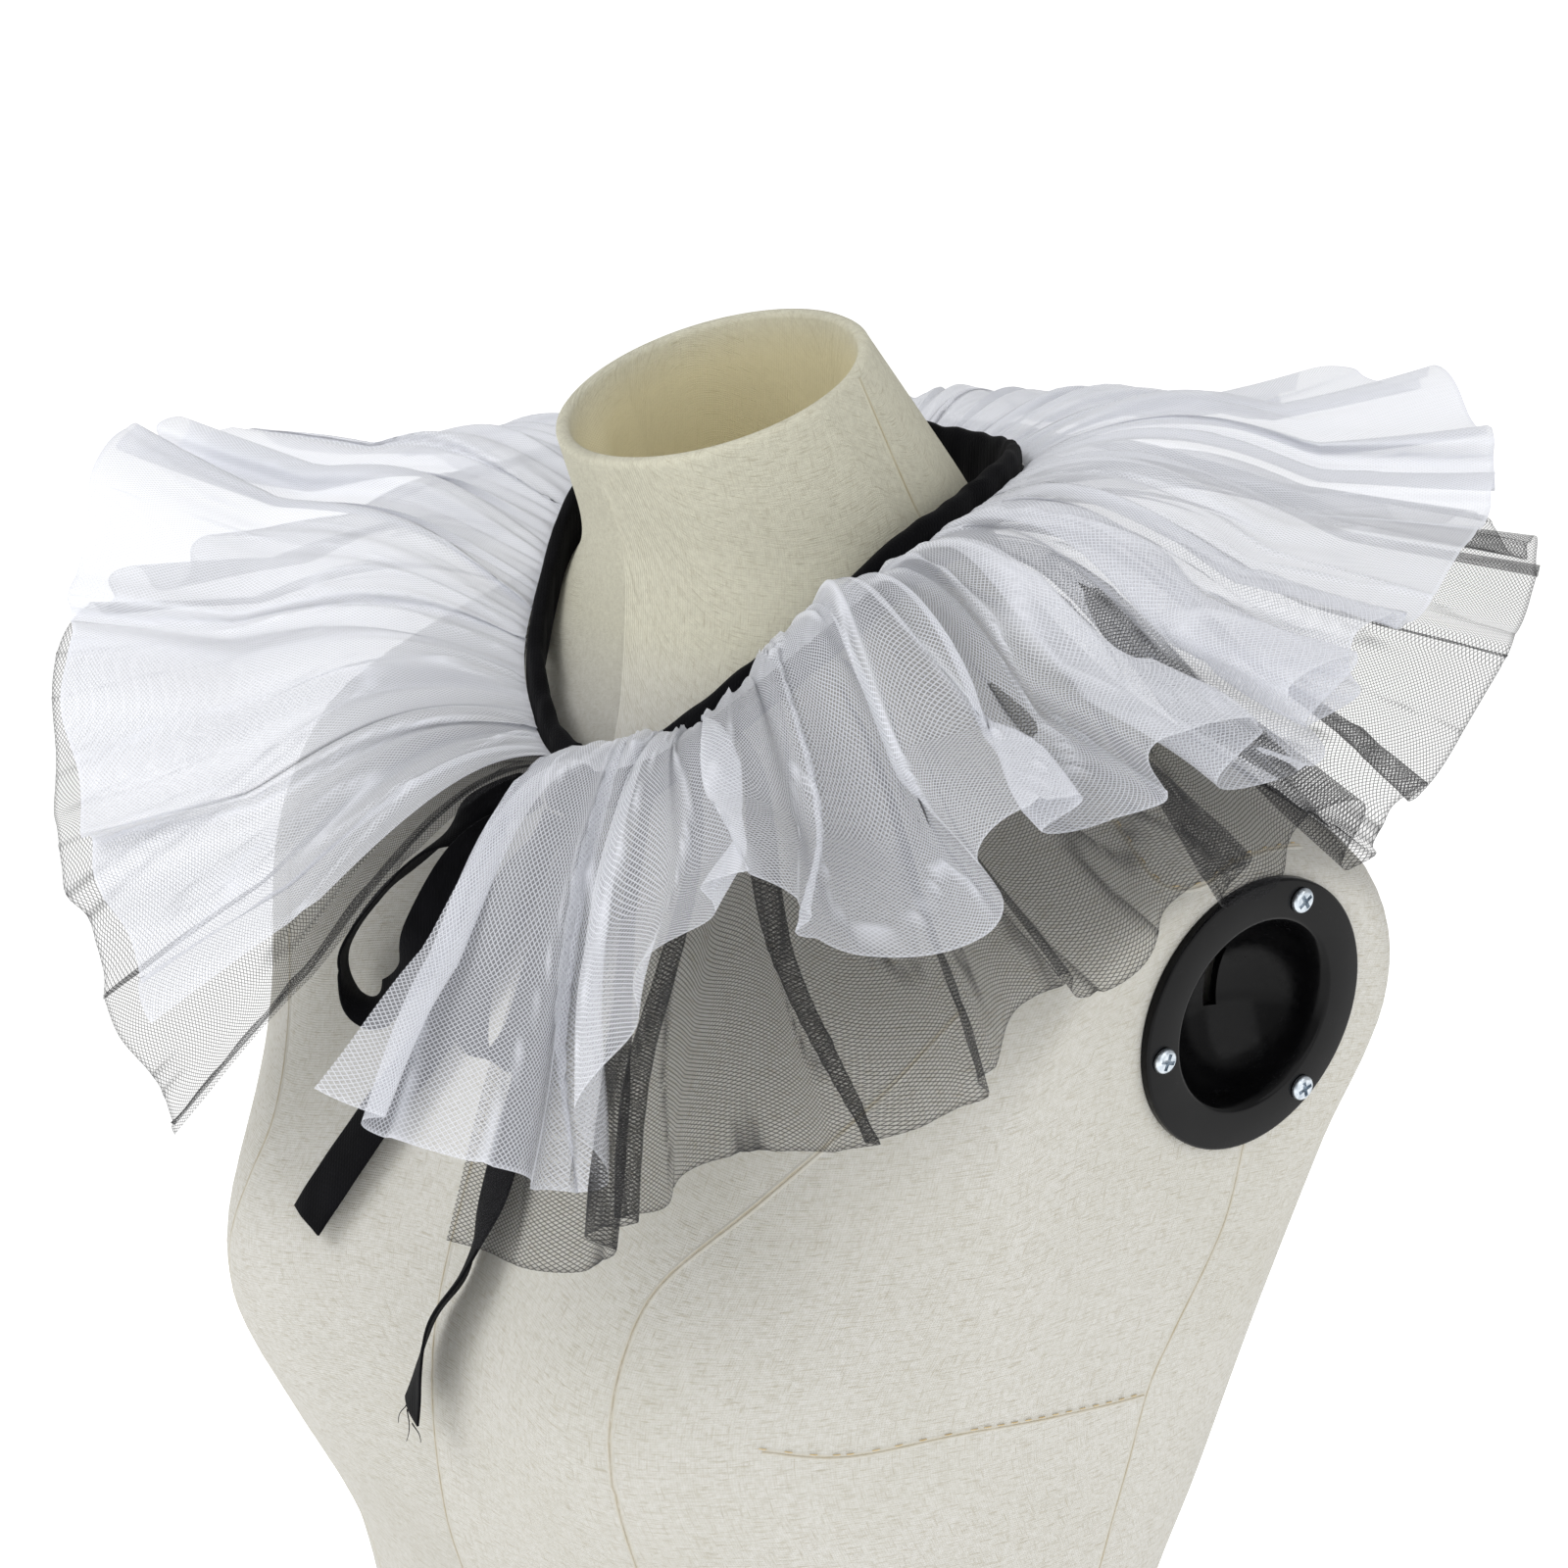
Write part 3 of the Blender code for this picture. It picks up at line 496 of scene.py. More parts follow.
def plate_frame(sign):
    """Place of an arm plate: its origin is the plate's centre, and its X axis points straight out."""
    centre = Vector((PLATE_X, SOCKET_CENTRE_Y, NECK_POINT + SOCKET_CENTRE_HEIGHT))
    yaw = Matrix.Rotation(-PLATE_YAW, 4, "Z")
    pitch = Matrix.Rotation(PLATE_PITCH, 4, "Y")
    mirror = Matrix.Diagonal((sign, 1, 1, 1))
    return mirror @ Matrix.Translation(centre) @ yaw @ pitch


def plate_limit(y, height):
    """Half-width at which the flat arm plate cuts the torso off."""
    back_lean = math.tan(PLATE_YAW) * (y - SOCKET_CENTRE_Y)
    down_lean = math.tan(PLATE_PITCH) * (height - SOCKET_CENTRE_HEIGHT)
    return PLATE_X + back_lean + down_lean / math.cos(PLATE_YAW)


def soft_limit(value, limit, softness):
    """The smaller of two lengths, with a rounded turn where they meet."""
    blend = max(softness * 2 - abs(value - limit), 0.0)
    return min(value, limit) - blend * blend / (8 * softness)


def form_ring(height):
    """Points of the torso at one level, counted from the centre front to the wearer's left."""
    half_width, front, back, middle, fullness = form_level(height)
    power = 2.0 / fullness
    ring = []
    for step in range(FORM_RING_POINTS):
        angle = 2 * math.pi * step / FORM_RING_POINTS
        x = half_width * round_power(math.sin(angle), power)
        depth = front + middle if math.cos(angle) > 0 else back - middle
        y = middle - depth * round_power(math.cos(angle), power)
        if y < 0:
            across = (abs(x) - BUST_APART) / BUST_WIDTH
            along = (height - BUST_HEIGHT) / BUST_TALL
            y -= BUST_PROUD * math.exp(-across * across - along * along)
        x = math.copysign(soft_limit(abs(x), plate_limit(y, height), PLATE_SOFTNESS), x)
        ring.append(Vector((x, y, NECK_POINT + height)))
    return ring


def form_clearance(point):
    """Rough distance of a point from the torso, and the way out, for cloth that rests on it."""
    step = 0.001

    def inside(x, y, z):
        height = round(min(z - NECK_POINT, FORM_SECTIONS[-1].height), 4)
        half_width, front, back, middle, fullness = form_level(height)
        depth = front + middle if y < middle else back - middle
        if y < middle:
            across = (abs(x) - BUST_APART) / BUST_WIDTH
            along = (height - BUST_HEIGHT) / BUST_TALL
            depth += BUST_PROUD * math.exp(-across * across - along * along)
        reach = (abs(x) / half_width) ** fullness + (abs(y - middle) / depth) ** fullness
        return reach ** (1.0 / fullness)

    here = inside(*point)
    slope = Vector((
        inside(point.x + step, point.y, point.z) - here,
        inside(point.x, point.y + step, point.z) - here,
        inside(point.x, point.y, point.z + step) - here,
    )) / step
    steepness = max(slope.length, 1e-6)
    return (here - 1.0) / steepness, slope / steepness


def lifted_off(point, clearance):
    """Move a point of cloth outwards until it just clears the torso."""
    for _ in range(3):
        distance, outward = form_clearance(point)
        if distance >= clearance:
            break
        point = point + outward * (clearance - distance)
    return point


def neck_ring(shrink, drop):
    """Points of a ring that lies square to the leaning neck, below its rim."""
    ring = []
    for step in range(FORM_RING_POINTS):
        angle = 2 * math.pi * step / FORM_RING_POINTS
        across = Vector(((NECK_RIM_HALF_WIDTH - shrink) * math.sin(angle), 0.0, 0.0))
        depth = -(NECK_RIM_HALF_DEPTH - shrink) * math.cos(angle)
        ring.append(NECK_CENTRE - NECK_AXIS * drop + across + NECK_ACROSS * depth)
    return ring


def blend_rings(first, second, amount):
    """Points part of the way from one ring to another."""
    return [a.lerp(b, amount) for a, b in zip(first, second)]


def band_outward(angle):
    """Level direction that points straight out of the neckband."""
    return Vector((BAND_HALF_DEPTH * math.sin(angle), -BAND_HALF_WIDTH * math.cos(angle), 0.0)).normalized()


def band_section(middle, outward, corners):
    """Outline of the padded strip round its middle."""
    ring = []
    for corner in range(corners):
        turn = 2 * math.pi * (corner + 0.5) / corners
        across = BAND_THICKNESS * 0.5 * round_power(math.cos(turn), BAND_BOXINESS_ACROSS)
        along = BAND_HEIGHT * 0.5 * round_power(math.sin(turn), BAND_BOXINESS_ALONG)
        ring.append(middle + outward * across + Vector((0, 0, along)))
    return ring


@lru_cache(maxsize=None)
def band_point(angle):
    """Middle of the neckband at an angle from the centre front, where it rests on the form."""
    middle = Vector((
        BAND_HALF_WIDTH * math.sin(angle),
        BAND_CENTRE_Y - BAND_HALF_DEPTH * math.cos(angle),
        NECK_POINT + BAND_LEVEL - BAND_TILT * math.cos(angle) - BAND_SADDLE * math.cos(2 * angle),
    ))
    for _ in range(4):
        ring = band_section(middle, band_outward(angle), BAND_COARSE_CORNERS)
        distance, away = min((form_clearance(corner) for corner in ring), key=lambda pair: pair[0])
        if distance >= BAND_CLEARANCE:
            break
        middle = middle + away * (BAND_CLEARANCE - distance)
    return middle


def laid_flat(rings, closed_rings):
    """Cloth coordinates in metres of each ring point: along its ring, and from the first ring."""
    flat = []
    climbed = [0.0] * (len(rings[0]) + 1)
    for level, ring in enumerate(rings):
        closed = [*ring, ring[0]] if closed_rings else ring
        around = 0.0
        row = []
        for index, point in enumerate(closed):
            if index:
                around += (point - closed[index - 1]).length
            if level:
                below = rings[level - 1]
                climbed[index] += (point - below[index % len(below)]).length
            row.append((around, climbed[index]))
        flat.append(row)
    return flat


def skin_rows(builder, rows, closed=True):
    """Join rows of vertices with faces, as a tube or as an open strip."""
    count = len(rows[0])
    for first, second in zip(rows, rows[1:]):
        for index in range(count if closed else count - 1):
            following = (index + 1) % count
            builder.faces.new((first[index], first[following], second[following], second[index]))


def loft(rings, closed_rings=True, cap_start=True, cap_end=True):
    """Skin a list of point rings with cloth coordinates, and close the ends that are wanted."""
    builder = bmesh.new()
    cloth = builder.loops.layers.uv.new("cloth")
    flat = laid_flat(rings, closed_rings)
    rows = [[builder.verts.new(point) for point in ring] for ring in rings]
    count = len(rows[0])
    steps = count if closed_rings else count - 1
    for level in range(len(rows) - 1):
        lower, upper = rows[level], rows[level + 1]
        for index in range(steps):
            following = (index + 1) % count
            face = builder.faces.new((lower[index], lower[following], upper[following], upper[index]))
            places = (
                flat[level][index], flat[level][index + 1], flat[level + 1][index + 1], flat[level + 1][index]
            )
            for corner, place in zip(face.loops, places):
                corner[cloth].uv = place
    for row, wanted in ((rows[0], cap_start), (rows[-1], cap_end)):
        if wanted:
            builder.faces.new(row)
    return builder


def piece_from(name, builder, finish, replaced=()):
    """Make a finished bmesh into a piece that rides on the frame and stands for its CAD nodes."""
    bmesh.ops.recalc_face_normals(builder, faces=builder.faces)
    mesh = bpy.data.meshes.new(name)
    builder.to_mesh(mesh)
    builder.free()
    mesh.shade_smooth()
    piece = bpy.data.objects.new(name, mesh)
    bpy.context.scene.collection.objects.link(piece)
    return settled(piece, finish, replaced)


def settled(piece, finish, replaced=()):
    """Give a piece its material, its body and the nodes that it stands for."""
    piece.data.materials.clear()
    piece.data.materials.append(finish)
    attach(piece, "root")
    if replaced:
        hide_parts(*replaced)
    return piece


def made_active(piece):
    """Select one object alone, so that an operator acts on nothing else."""
    bpy.ops.object.select_all(action="DESELECT")
    piece.select_set(True)
    bpy.context.view_layer.objects.active = piece
    return piece


def faces_chosen(piece, wanted):
    """In edit mode, select the faces that a test picks by centre and normal."""
    bpy.ops.mesh.select_all(action="DESELECT")
    builder = bmesh.from_edit_mesh(piece.data)
    for face in builder.faces:
        face.select = wanted(face.calc_center_median(), face.normal)
    builder.select_flush_mode()
    bmesh.update_edit_mesh(piece.data)


def edges_chosen(piece, wanted):
    """In edit mode, select the edges that a test picks by the middle of each edge."""
    bpy.ops.mesh.select_mode(type="EDGE")
    bpy.ops.mesh.select_all(action="DESELECT")
    builder = bmesh.from_edit_mesh(piece.data)
    for edge in builder.edges:
        edge.select = wanted((edge.verts[0].co + edge.verts[1].co) / 2, edge)
    builder.select_flush_mode()
    bmesh.update_edit_mesh(piece.data)


def apply_modifier(piece, kind, **settings):
    """Give a piece one modifier with its settings, and apply it."""
    made_active(piece)
    modifier = piece.modifiers.new(kind.lower(), kind)
    for name, value in settings.items():
        setattr(modifier, name, value)
    bpy.ops.object.modifier_apply(modifier=modifier.name)


def cut_away(piece, cutter):
    """Take a cutter out of a piece with an applied Boolean, and remove the cutter."""
    apply_modifier(piece, "BOOLEAN", operation="DIFFERENCE", object=cutter)
    bpy.data.objects.remove(cutter, do_unlink=True)


def smoothed_to(piece, degrees):
    """Shade a piece smooth, apart from edges sharper than an angle."""
    piece.data.shade_smooth()
    piece.data.set_sharp_from_angle(angle=math.radians(degrees))


def cylinder_in_edit(name, sides, radius, height, base):
    """Stand a cylinder on a level of the Z axis, and open it in edit mode."""
    bpy.ops.mesh.primitive_cylinder_add(
        vertices=sides, radius=radius, depth=height, location=(0, 0, base + height / 2),
    )
    made = bpy.context.object
    made.name = made.data.name = name
    bpy.ops.object.transform_apply(location=True, rotation=True, scale=True)
    bpy.ops.object.mode_set(mode="EDIT")
    return made


def sized_box(*place):
    """Add a unit cube and bake a place and a size, given as matrices, into its mesh."""
    bpy.ops.mesh.primitive_cube_add(size=1.0)
    box = bpy.context.object
    for step in reversed(place):
        box.data.transform(step)
    return box


def put_in_place(piece, place):
    """Move a piece that was made at the origin to its place, and bake that into its mesh."""
    piece.data.transform(place)
    if place.determinant() < 0:
        piece.data.flip_normals()
    piece.data.update()
    return piece


def add_node(tree, kind, inputs=None, **settings):
    """Add one node with its settings, and give its inputs a value or a link."""
    made = tree.nodes.new(kind)
    for name, value in settings.items():
        setattr(made, name, value)
    for name, value in (inputs or {}).items():
        socket = made.inputs[name]
        if isinstance(value, bpy.types.NodeSocket):
            tree.links.new(value, socket)
        else:
            socket.default_value = value
    return made


def new_finish(name, **values):
    """Start a material and return it with its node tree and its shader."""
    made = bpy.data.materials.new(name)
    made.use_nodes = True
    shader = made.node_tree.nodes["Principled BSDF"]
    for socket, value in values.items():
        shader.inputs[socket.replace("_", " ")].default_value = value
    return made, made.node_tree, shader


def threads(tree, place, pitch, turn):
    """Draw a family of parallel threads of one pitch, turned about Z: 1 on a thread, 0 between."""
    mapping = add_node(tree, "ShaderNodeMapping", {"Vector": place, "Rotation": (0.0, 0.0, turn)})
    wave = add_node(tree, "ShaderNodeTexWave", {
        "Vector": mapping.outputs["Vector"], "Scale": WAVE_TEXTURE_PERIOD / pitch,
    }, wave_type="BANDS", bands_direction="X", wave_profile="SIN")
    return wave.outputs["Fac"]


def mottling(tree, place, size, detail=3.0, roughness=0.55, squeeze=(1, 1, 1)):
    """Draw noise whose patches are about one size, squeezed along the axes."""
    mapping = add_node(tree, "ShaderNodeMapping", {"Vector": place, "Scale": squeeze})
    made = add_node(tree, "ShaderNodeTexNoise", {
        "Vector": mapping.outputs["Vector"], "Scale": 1.0 / size, "Detail": detail, "Roughness": roughness,
    })
    return made.outputs["Fac"]


def toned(tree, pattern, low, high, new_low, new_high, ground, tone):
    """Lay a tone over a ground colour where a pattern shows, its range being stretched first."""
    amount = add_node(tree, "ShaderNodeMapRange", {
        "Value": pattern, "From Min": low, "From Max": high, "To Min": new_low, "To Max": new_high,
    })
    mix = add_node(tree, "ShaderNodeMix", {0: amount.outputs["Result"], 6: ground, 7: tone}, data_type="RGBA")
    return mix.outputs[2]


def linen_finish(settings):
    """Half-bleached linen, plain woven and stretched over the form."""
    # Uneven flax yarn gives fine darker slubs both ways, and the padding below leaves faint patches.
    made, tree, shader = new_finish(
        "linen_plain_weave_half_bleached", Roughness=0.93, Specular_IOR_Level=0.18,
    )
    place = add_node(tree, "ShaderNodeUVMap", uv_map="cloth").outputs["UV"]
    body = add_node(tree, "ShaderNodeTexCoord").outputs["Object"]
    # Real threads stand 0.5 mm apart. They are drawn 0.8 mm apart so that the weave shows.
    across = threads(tree, place, 0.0008, 0.0)
    upright = threads(tree, place, 0.0008, math.radians(90))
    weave = add_node(tree, "ShaderNodeMath", {0: across, 1: upright}, operation="MAXIMUM").outputs[0]
    slub_ways = []
    for squeeze, low, high in (((0.12, 1.0, 1.0), 0.53, 0.72), ((1.0, 0.10, 1.0), 0.56, 0.76)):
        flax = mottling(tree, place, 0.0007, 2.0, 0.6, squeeze)
        slub = add_node(tree, "ShaderNodeMapRange", {"Value": flax, "From Min": low, "From Max": high})
        slub_ways.append(slub.outputs["Result"])
    slubs = add_node(tree, "ShaderNodeMath", dict(enumerate(slub_ways)), operation="MAXIMUM").outputs[0]
    patches = mottling(tree, body, 0.09, 3.0)
    grain = mottling(tree, body, 0.0016, 3.0, 0.7)
    lit, shadow = linear(settings.linen_colour), linear(settings.linen_shadow)
    colour = toned(tree, patches, 0.35, 0.68, 0, 1, lit, shadow)
    # The neck is a little yellower, and the lining inside it more so.
    level = add_node(tree, "ShaderNodeSeparateXYZ", {"Vector": body}).outputs["Z"]
    colour = toned(tree, level, NECK_POINT - 0.03, NECK_POINT, 0, 1, colour, linear("CDCBB9"))
    colour = toned(tree, weave, 0.2, 1.0, 0.22, 0.0, colour, linear("A8A28F"))
    colour = toned(tree, grain, 0.36, 0.64, 0.0, 0.34, colour, linear("AAA697"))
    colour = toned(tree, slubs, 0, 1, 0, 0.50, colour, linear("9C937C"))
    # The groove mark darkens each seam's groove to tan: painted shade in the groove, with the tan of the
    # thread there. The inner mark makes the lining inside the neck yellower.
    for mark, tone in (("groove", "A08F66"), ("inner", "DDD4B0")):
        marked = add_node(tree, "ShaderNodeAttribute", attribute_name=mark).outputs["Fac"]
        colour = toned(tree, marked, 0, 1, 0, 0.75, colour, linear(tone))
    tree.links.new(colour, shader.inputs["Base Color"])
    relief = add_node(tree, "ShaderNodeMath", {0: slubs, 1: 0.8, 2: weave}, operation="MULTIPLY_ADD")
    bump = add_node(tree, "ShaderNodeBump", {
        "Height": relief.outputs[0], "Distance": 0.00012, "Strength": 0.8,
    })
    tree.links.new(bump.outputs["Normal"], shader.inputs["Normal"])
    return made


def net_finish(name, colour_hex, thread_pitch, look):
    """Nylon tulle, warp-knitted into a fine net of lozenges."""
    # Each lozenge is a hole, so light goes through, and threads that bunch at a fold look solid.
    made, tree, shader = new_finish(
        name, Base_Color=linear(colour_hex), Roughness=look.roughness, Specular_IOR_Level=0.35,
        Sheen_Weight=look.sheen, Sheen_Roughness=0.5,
    )
    place = add_node(tree, "ShaderNodeUVMap", uv_map="cloth").outputs["UV"]
    one_way = threads(tree, place, thread_pitch, look.thread_angle)
    other_way = threads(tree, place, thread_pitch, -look.thread_angle)
    lozenges = add_node(tree, "ShaderNodeMath", {0: one_way, 1: other_way}, operation="MAXIMUM").outputs[0]
    yarn = add_node(tree, "ShaderNodeMapRange", {
        "Value": lozenges, "From Min": 0.76, "From Max": 0.96,
    }).outputs["Result"]
    bunching = add_node(tree, "ShaderNodeAttribute", attribute_name="bunching").outputs["Fac"]
    open_net = add_node(
        tree, "ShaderNodeMath", {0: yarn, 1: look.yarn_cover, 2: look.ground_cover}, operation="MULTIPLY_ADD",
    ).outputs[0]
    left_open = add_node(tree, "ShaderNodeMath", {0: 1.0, 1: bunching}, operation="SUBTRACT").outputs[0]
    covered = add_node(
        tree, "ShaderNodeMath", {0: open_net, 1: left_open, 2: bunching}, operation="MULTIPLY_ADD",
    ).outputs[0]
    tree.links.new(covered, shader.inputs["Alpha"])
    bump = add_node(tree, "ShaderNodeBump", {"Height": yarn, "Distance": 0.0001, "Strength": 0.5})
    tree.links.new(bump.outputs["Normal"], shader.inputs["Normal"])
    return made


def cotton_finish(settings):
    """Black cotton, a close plain weave."""
    # It scatters light and keeps lint, so it has no gloss and is greyer where lint clings.
    made, tree, shader = new_finish(
        "cotton_plain_weave_dyed_black", Roughness=0.9, Specular_IOR_Level=0.08, Sheen_Weight=0.03,
    )
    place = add_node(tree, "ShaderNodeTexCoord").outputs["Object"]
    folds = mottling(tree, place, 0.012, 3.0)
    lint = mottling(tree, place, 0.0012, 2.0, 0.7)
    colour = toned(tree, folds, 0.35, 0.7, 0, 1, linear(settings.cotton_colour), linear("0C0C0F"))
    colour = toned(tree, lint, 0.68, 0.82, 0, 0.25, colour, linear("34343A"))
    tree.links.new(colour, shader.inputs["Base Color"])
    # Real threads stand 0.4 mm apart. They are drawn 0.9 mm apart so that the weave shows.
    one_way = threads(tree, place, 0.0009, math.radians(45))
    other_way = threads(tree, place, 0.0009, math.radians(-45))
    weave = add_node(tree, "ShaderNodeMath", {0: one_way, 1: other_way}, operation="MAXIMUM").outputs[0]
    bump = add_node(tree, "ShaderNodeBump", {"Height": weave, "Distance": 0.00015, "Strength": 0.7})
    tree.links.new(bump.outputs["Normal"], shader.inputs["Normal"])
    return made


def moulded_finish():
    """Injection-moulded black ABS."""
    # The mould leaves it glossy with faint flow marks, and fitting arms has scuffed it.
    made, tree, shader = new_finish("abs_injection_moulded_black", Specular_IOR_Level=0.14)
    place = add_node(tree, "ShaderNodeTexCoord").outputs["Object"]
    flow = mottling(tree, place, 0.010, 4.0, 0.6)
    scuffs = mottling(tree, place, 0.0022, 3.0, 0.65, (1.0, 0.25, 1.0))
    colour = toned(tree, flow, 0.3, 0.75, 0, 1, linear("050506"), linear("0C0C0D"))
    colour = toned(tree, scuffs, 0.66, 0.82, 0, 0.25, colour, linear("2C2C2E"))
    tree.links.new(colour, shader.inputs["Base Color"])
    gloss = add_node(tree, "ShaderNodeMapRange", {
        "Value": scuffs, "From Min": 0.35, "From Max": 0.75, "To Min": 0.16, "To Max": 0.30,
    })
    tree.links.new(gloss.outputs["Result"], shader.inputs["Roughness"])
    bump = add_node(tree, "ShaderNodeBump", {"Height": flow, "Distance": 0.0002, "Strength": 0.15})
    tree.links.new(bump.outputs["Normal"], shader.inputs["Normal"])
    return made


def plated_finish():
    """Zinc-plated steel."""
    # Plating in a barrel leaves it bright, with a faint cloudiness.
    made, tree, shader = new_finish("steel_zinc_plated", Metallic=1.0)
    place = add_node(tree, "ShaderNodeTexCoord").outputs["Object"]
    cloud = mottling(tree, place, 0.0016, 3.0, 0.6)
    gloss = add_node(tree, "ShaderNodeMapRange", {
        "Value": cloud, "From Min": 0.3, "From Max": 0.7, "To Min": 0.2, "To Max": 0.42,
    })
    tree.links.new(gloss.outputs["Result"], shader.inputs["Roughness"])
    colour = toned(tree, cloud, 0.35, 0.7, 0, 1, linear("D3DAE0"), linear("A9B3BD"))
    tree.links.new(colour, shader.inputs["Base Color"])
    return made


def stitch_finish():
    """Spun polyester sewing thread in fawn."""
    # It is twisted, so each stitch has fine slanting ridges.
    made, tree, shader = new_finish("polyester_thread_fawn", Roughness=0.75)
    place = add_node(tree, "ShaderNodeTexCoord").outputs["Object"]
    tone = mottling(tree, place, 0.004, 2.0)
    colour = toned(tree, tone, 0.35, 0.65, 0, 1, linear("B59C6C"), linear("CDB98E"))
    tree.links.new(colour, shader.inputs["Base Color"])
    twist = threads(tree, place, 0.0004, math.radians(35))
    bump = add_node(tree, "ShaderNodeBump", {"Height": twist, "Distance": 0.00005, "Strength": 0.5})
    tree.links.new(bump.outputs["Normal"], shader.inputs["Normal"])
    return made


def floor_finish(settings):
    """Board painted matt white, for the studio floor."""
    # Rolled paint is even and has no gloss. It gives off light, as a lit backdrop does.
    made, tree, shader = new_finish("board_painted_matt_white", Roughness=0.9, Specular_IOR_Level=0.1)
    place = add_node(tree, "ShaderNodeTexCoord").outputs["Object"]
    tone = mottling(tree, place, 0.4, 2.0)
    colour = toned(tree, tone, 0.3, 0.7, 0, 1, linear(settings.floor_colour), linear("FDFDFC"))
    tree.links.new(colour, shader.inputs["Base Color"])
    tree.links.new(colour, shader.inputs["Emission Color"])
    shader.inputs["Emission Strength"].default_value = settings.floor_glow
    return made


def mark_inner(piece):
    """Mark the lining inside the neck, so that the linen can be yellower there."""
    inner = piece.data.attributes.new("inner", "FLOAT", "POINT")
    for vertex in piece.data.vertices:
        offset = vertex.co - NECK_CENTRE
        drop = -offset.dot(NECK_AXIS)
        reach = math.hypot(
            offset.x / (NECK_RIM_HALF_WIDTH - NECK_WALL * 0.6),
            offset.dot(NECK_ACROSS) / (NECK_RIM_HALF_DEPTH - NECK_WALL * 0.6),
        )
        lining = reach < 1.0 and drop < NECK_HOLLOW_DEPTH + SEAM_GAP
        inner.data[vertex.index].value = min(max(drop / LINING_SHADE_DEPTH, 0.0), 1.0) if lining else 0.0


def make_form_cover(settings):
    """Loft the padded torso under its linen, hollow the neck and cut the arm recesses."""
    lowest = FORM_SECTIONS[0].height
    highest = FORM_SECTIONS[-1].height
    rings = []
    for level in range(FORM_LEVELS):
        even = level / (FORM_LEVELS - 1)
        rings.append(form_ring(lowest + (highest - lowest) * (1 - (1 - even) ** FORM_CROWDING)))
    rim = neck_ring(0.0, NECK_RIM_ROUNDING)
    top = rings[-1]
    for step in range(1, NECK_LEVELS):
        rings.append(blend_rings(top, rim, step / NECK_LEVELS))
    rings.append(rim)
    for step in range(1, NECK_RIM_STEPS + 1):
        turn = math.pi * step / NECK_RIM_STEPS
        inwards = NECK_WALL * 0.5 * (1 - math.cos(turn))
        rings.append(neck_ring(inwards, NECK_RIM_ROUNDING * (1 - math.sin(turn))))
    floor_shrink = NECK_RIM_HALF_WIDTH * (1 - NECK_FLOOR_SHRINK)
    for step in range(1, HOLLOW_LEVELS + 1):
        amount = step / HOLLOW_LEVELS
        shrink = NECK_WALL + (floor_shrink - NECK_WALL) * amount
        ring = neck_ring(shrink, NECK_RIM_ROUNDING + (NECK_HOLLOW_DEPTH - NECK_RIM_ROUNDING) * amount)
        rings.append([lining_fold(point, amount) for point in ring])
    rings = relaxed(rings, FORM_LEVELS - RELAXED_BELOW, FORM_LEVELS + NECK_LEVELS - RELAXED_ABOVE)
    cover = piece_from("form_cover", loft(rings), linen_finish(settings), ["dress_form"])
    for sign in (1, -1):
        bpy.ops.mesh.primitive_cylinder_add(
            vertices=ROUND_SIDES, radius=RECESS_RADIUS, depth=RECESS_DEPTH + 2 * CUTTER_OVERRUN,
        )
        cutter = bpy.context.object
        shift = Matrix.Translation((-RECESS_DEPTH * 0.5 + CUTTER_OVERRUN, 0, 0))
        put_in_place(cutter, plate_frame(sign) @ shift @ TURNED_OUT)
        cut_away(cover, cutter)
    mark_inner(cover)
    smoothed_to(cover, 50)
    return cover


def relaxed(rings, first, last):
    """Even out the run of the rings between two levels, so that no kink shows across them."""
    for _ in range(RELAX_PASSES):
        smoothed = [list(ring) for ring in rings]
        for level in range(first, last):
            for index, point in enumerate(rings[level]):
                between = (rings[level - 1][index] + rings[level + 1][index]) / 2
                smoothed[level][index] = point.lerp(between, 0.5)
        rings = smoothed
    return rings


def lining_fold(point, amount):
    """Slack in the neck's lining: one soft ridge that runs down the wearer's right."""
    around = math.degrees(math.atan2(point.x, -(point.y - NECK_RIM_CENTRE.y)))
    off_line = (around - LINING_FOLD_ANGLE - LINING_FOLD_LEAN * amount) / LINING_FOLD_WIDTH
    ridge = LINING_FOLD_HEIGHT * math.exp(-off_line ** 2)
    inward = Vector((-point.x, -(point.y - NECK_RIM_CENTRE.y), 0.0)).normalized()
    return point + inward * ridge * eased(min(amount * 3, 1.0)) * eased(min((1 - amount) * 3, 1.0))


def seam_stations(marks, mirrored, surface):
    """Even steps along a seam, each with its place on the cover and the way out of it."""
    sign = -1 if mirrored else 1
    Row = namedtuple("Row", "key x y z")
    rows = [Row(index, sign * x, y, z) for index, (x, y, z) in enumerate(marks)]
    fine = []
    for index in range((len(marks) - 1) * SEAM_FINENESS + 1):
        place = Vector([smooth_value(rows, "key", column, index / SEAM_FINENESS) for column in "xyz"])
        found, normal, _, _ = surface.find_nearest(place)
        fine.append((found, normal))
    stations = [fine[0]]
    for found, normal in fine[1:]:
        if (found - stations[-1][0]).length >= SEAM_STEP:
            stations.append((found, normal))
    return stations


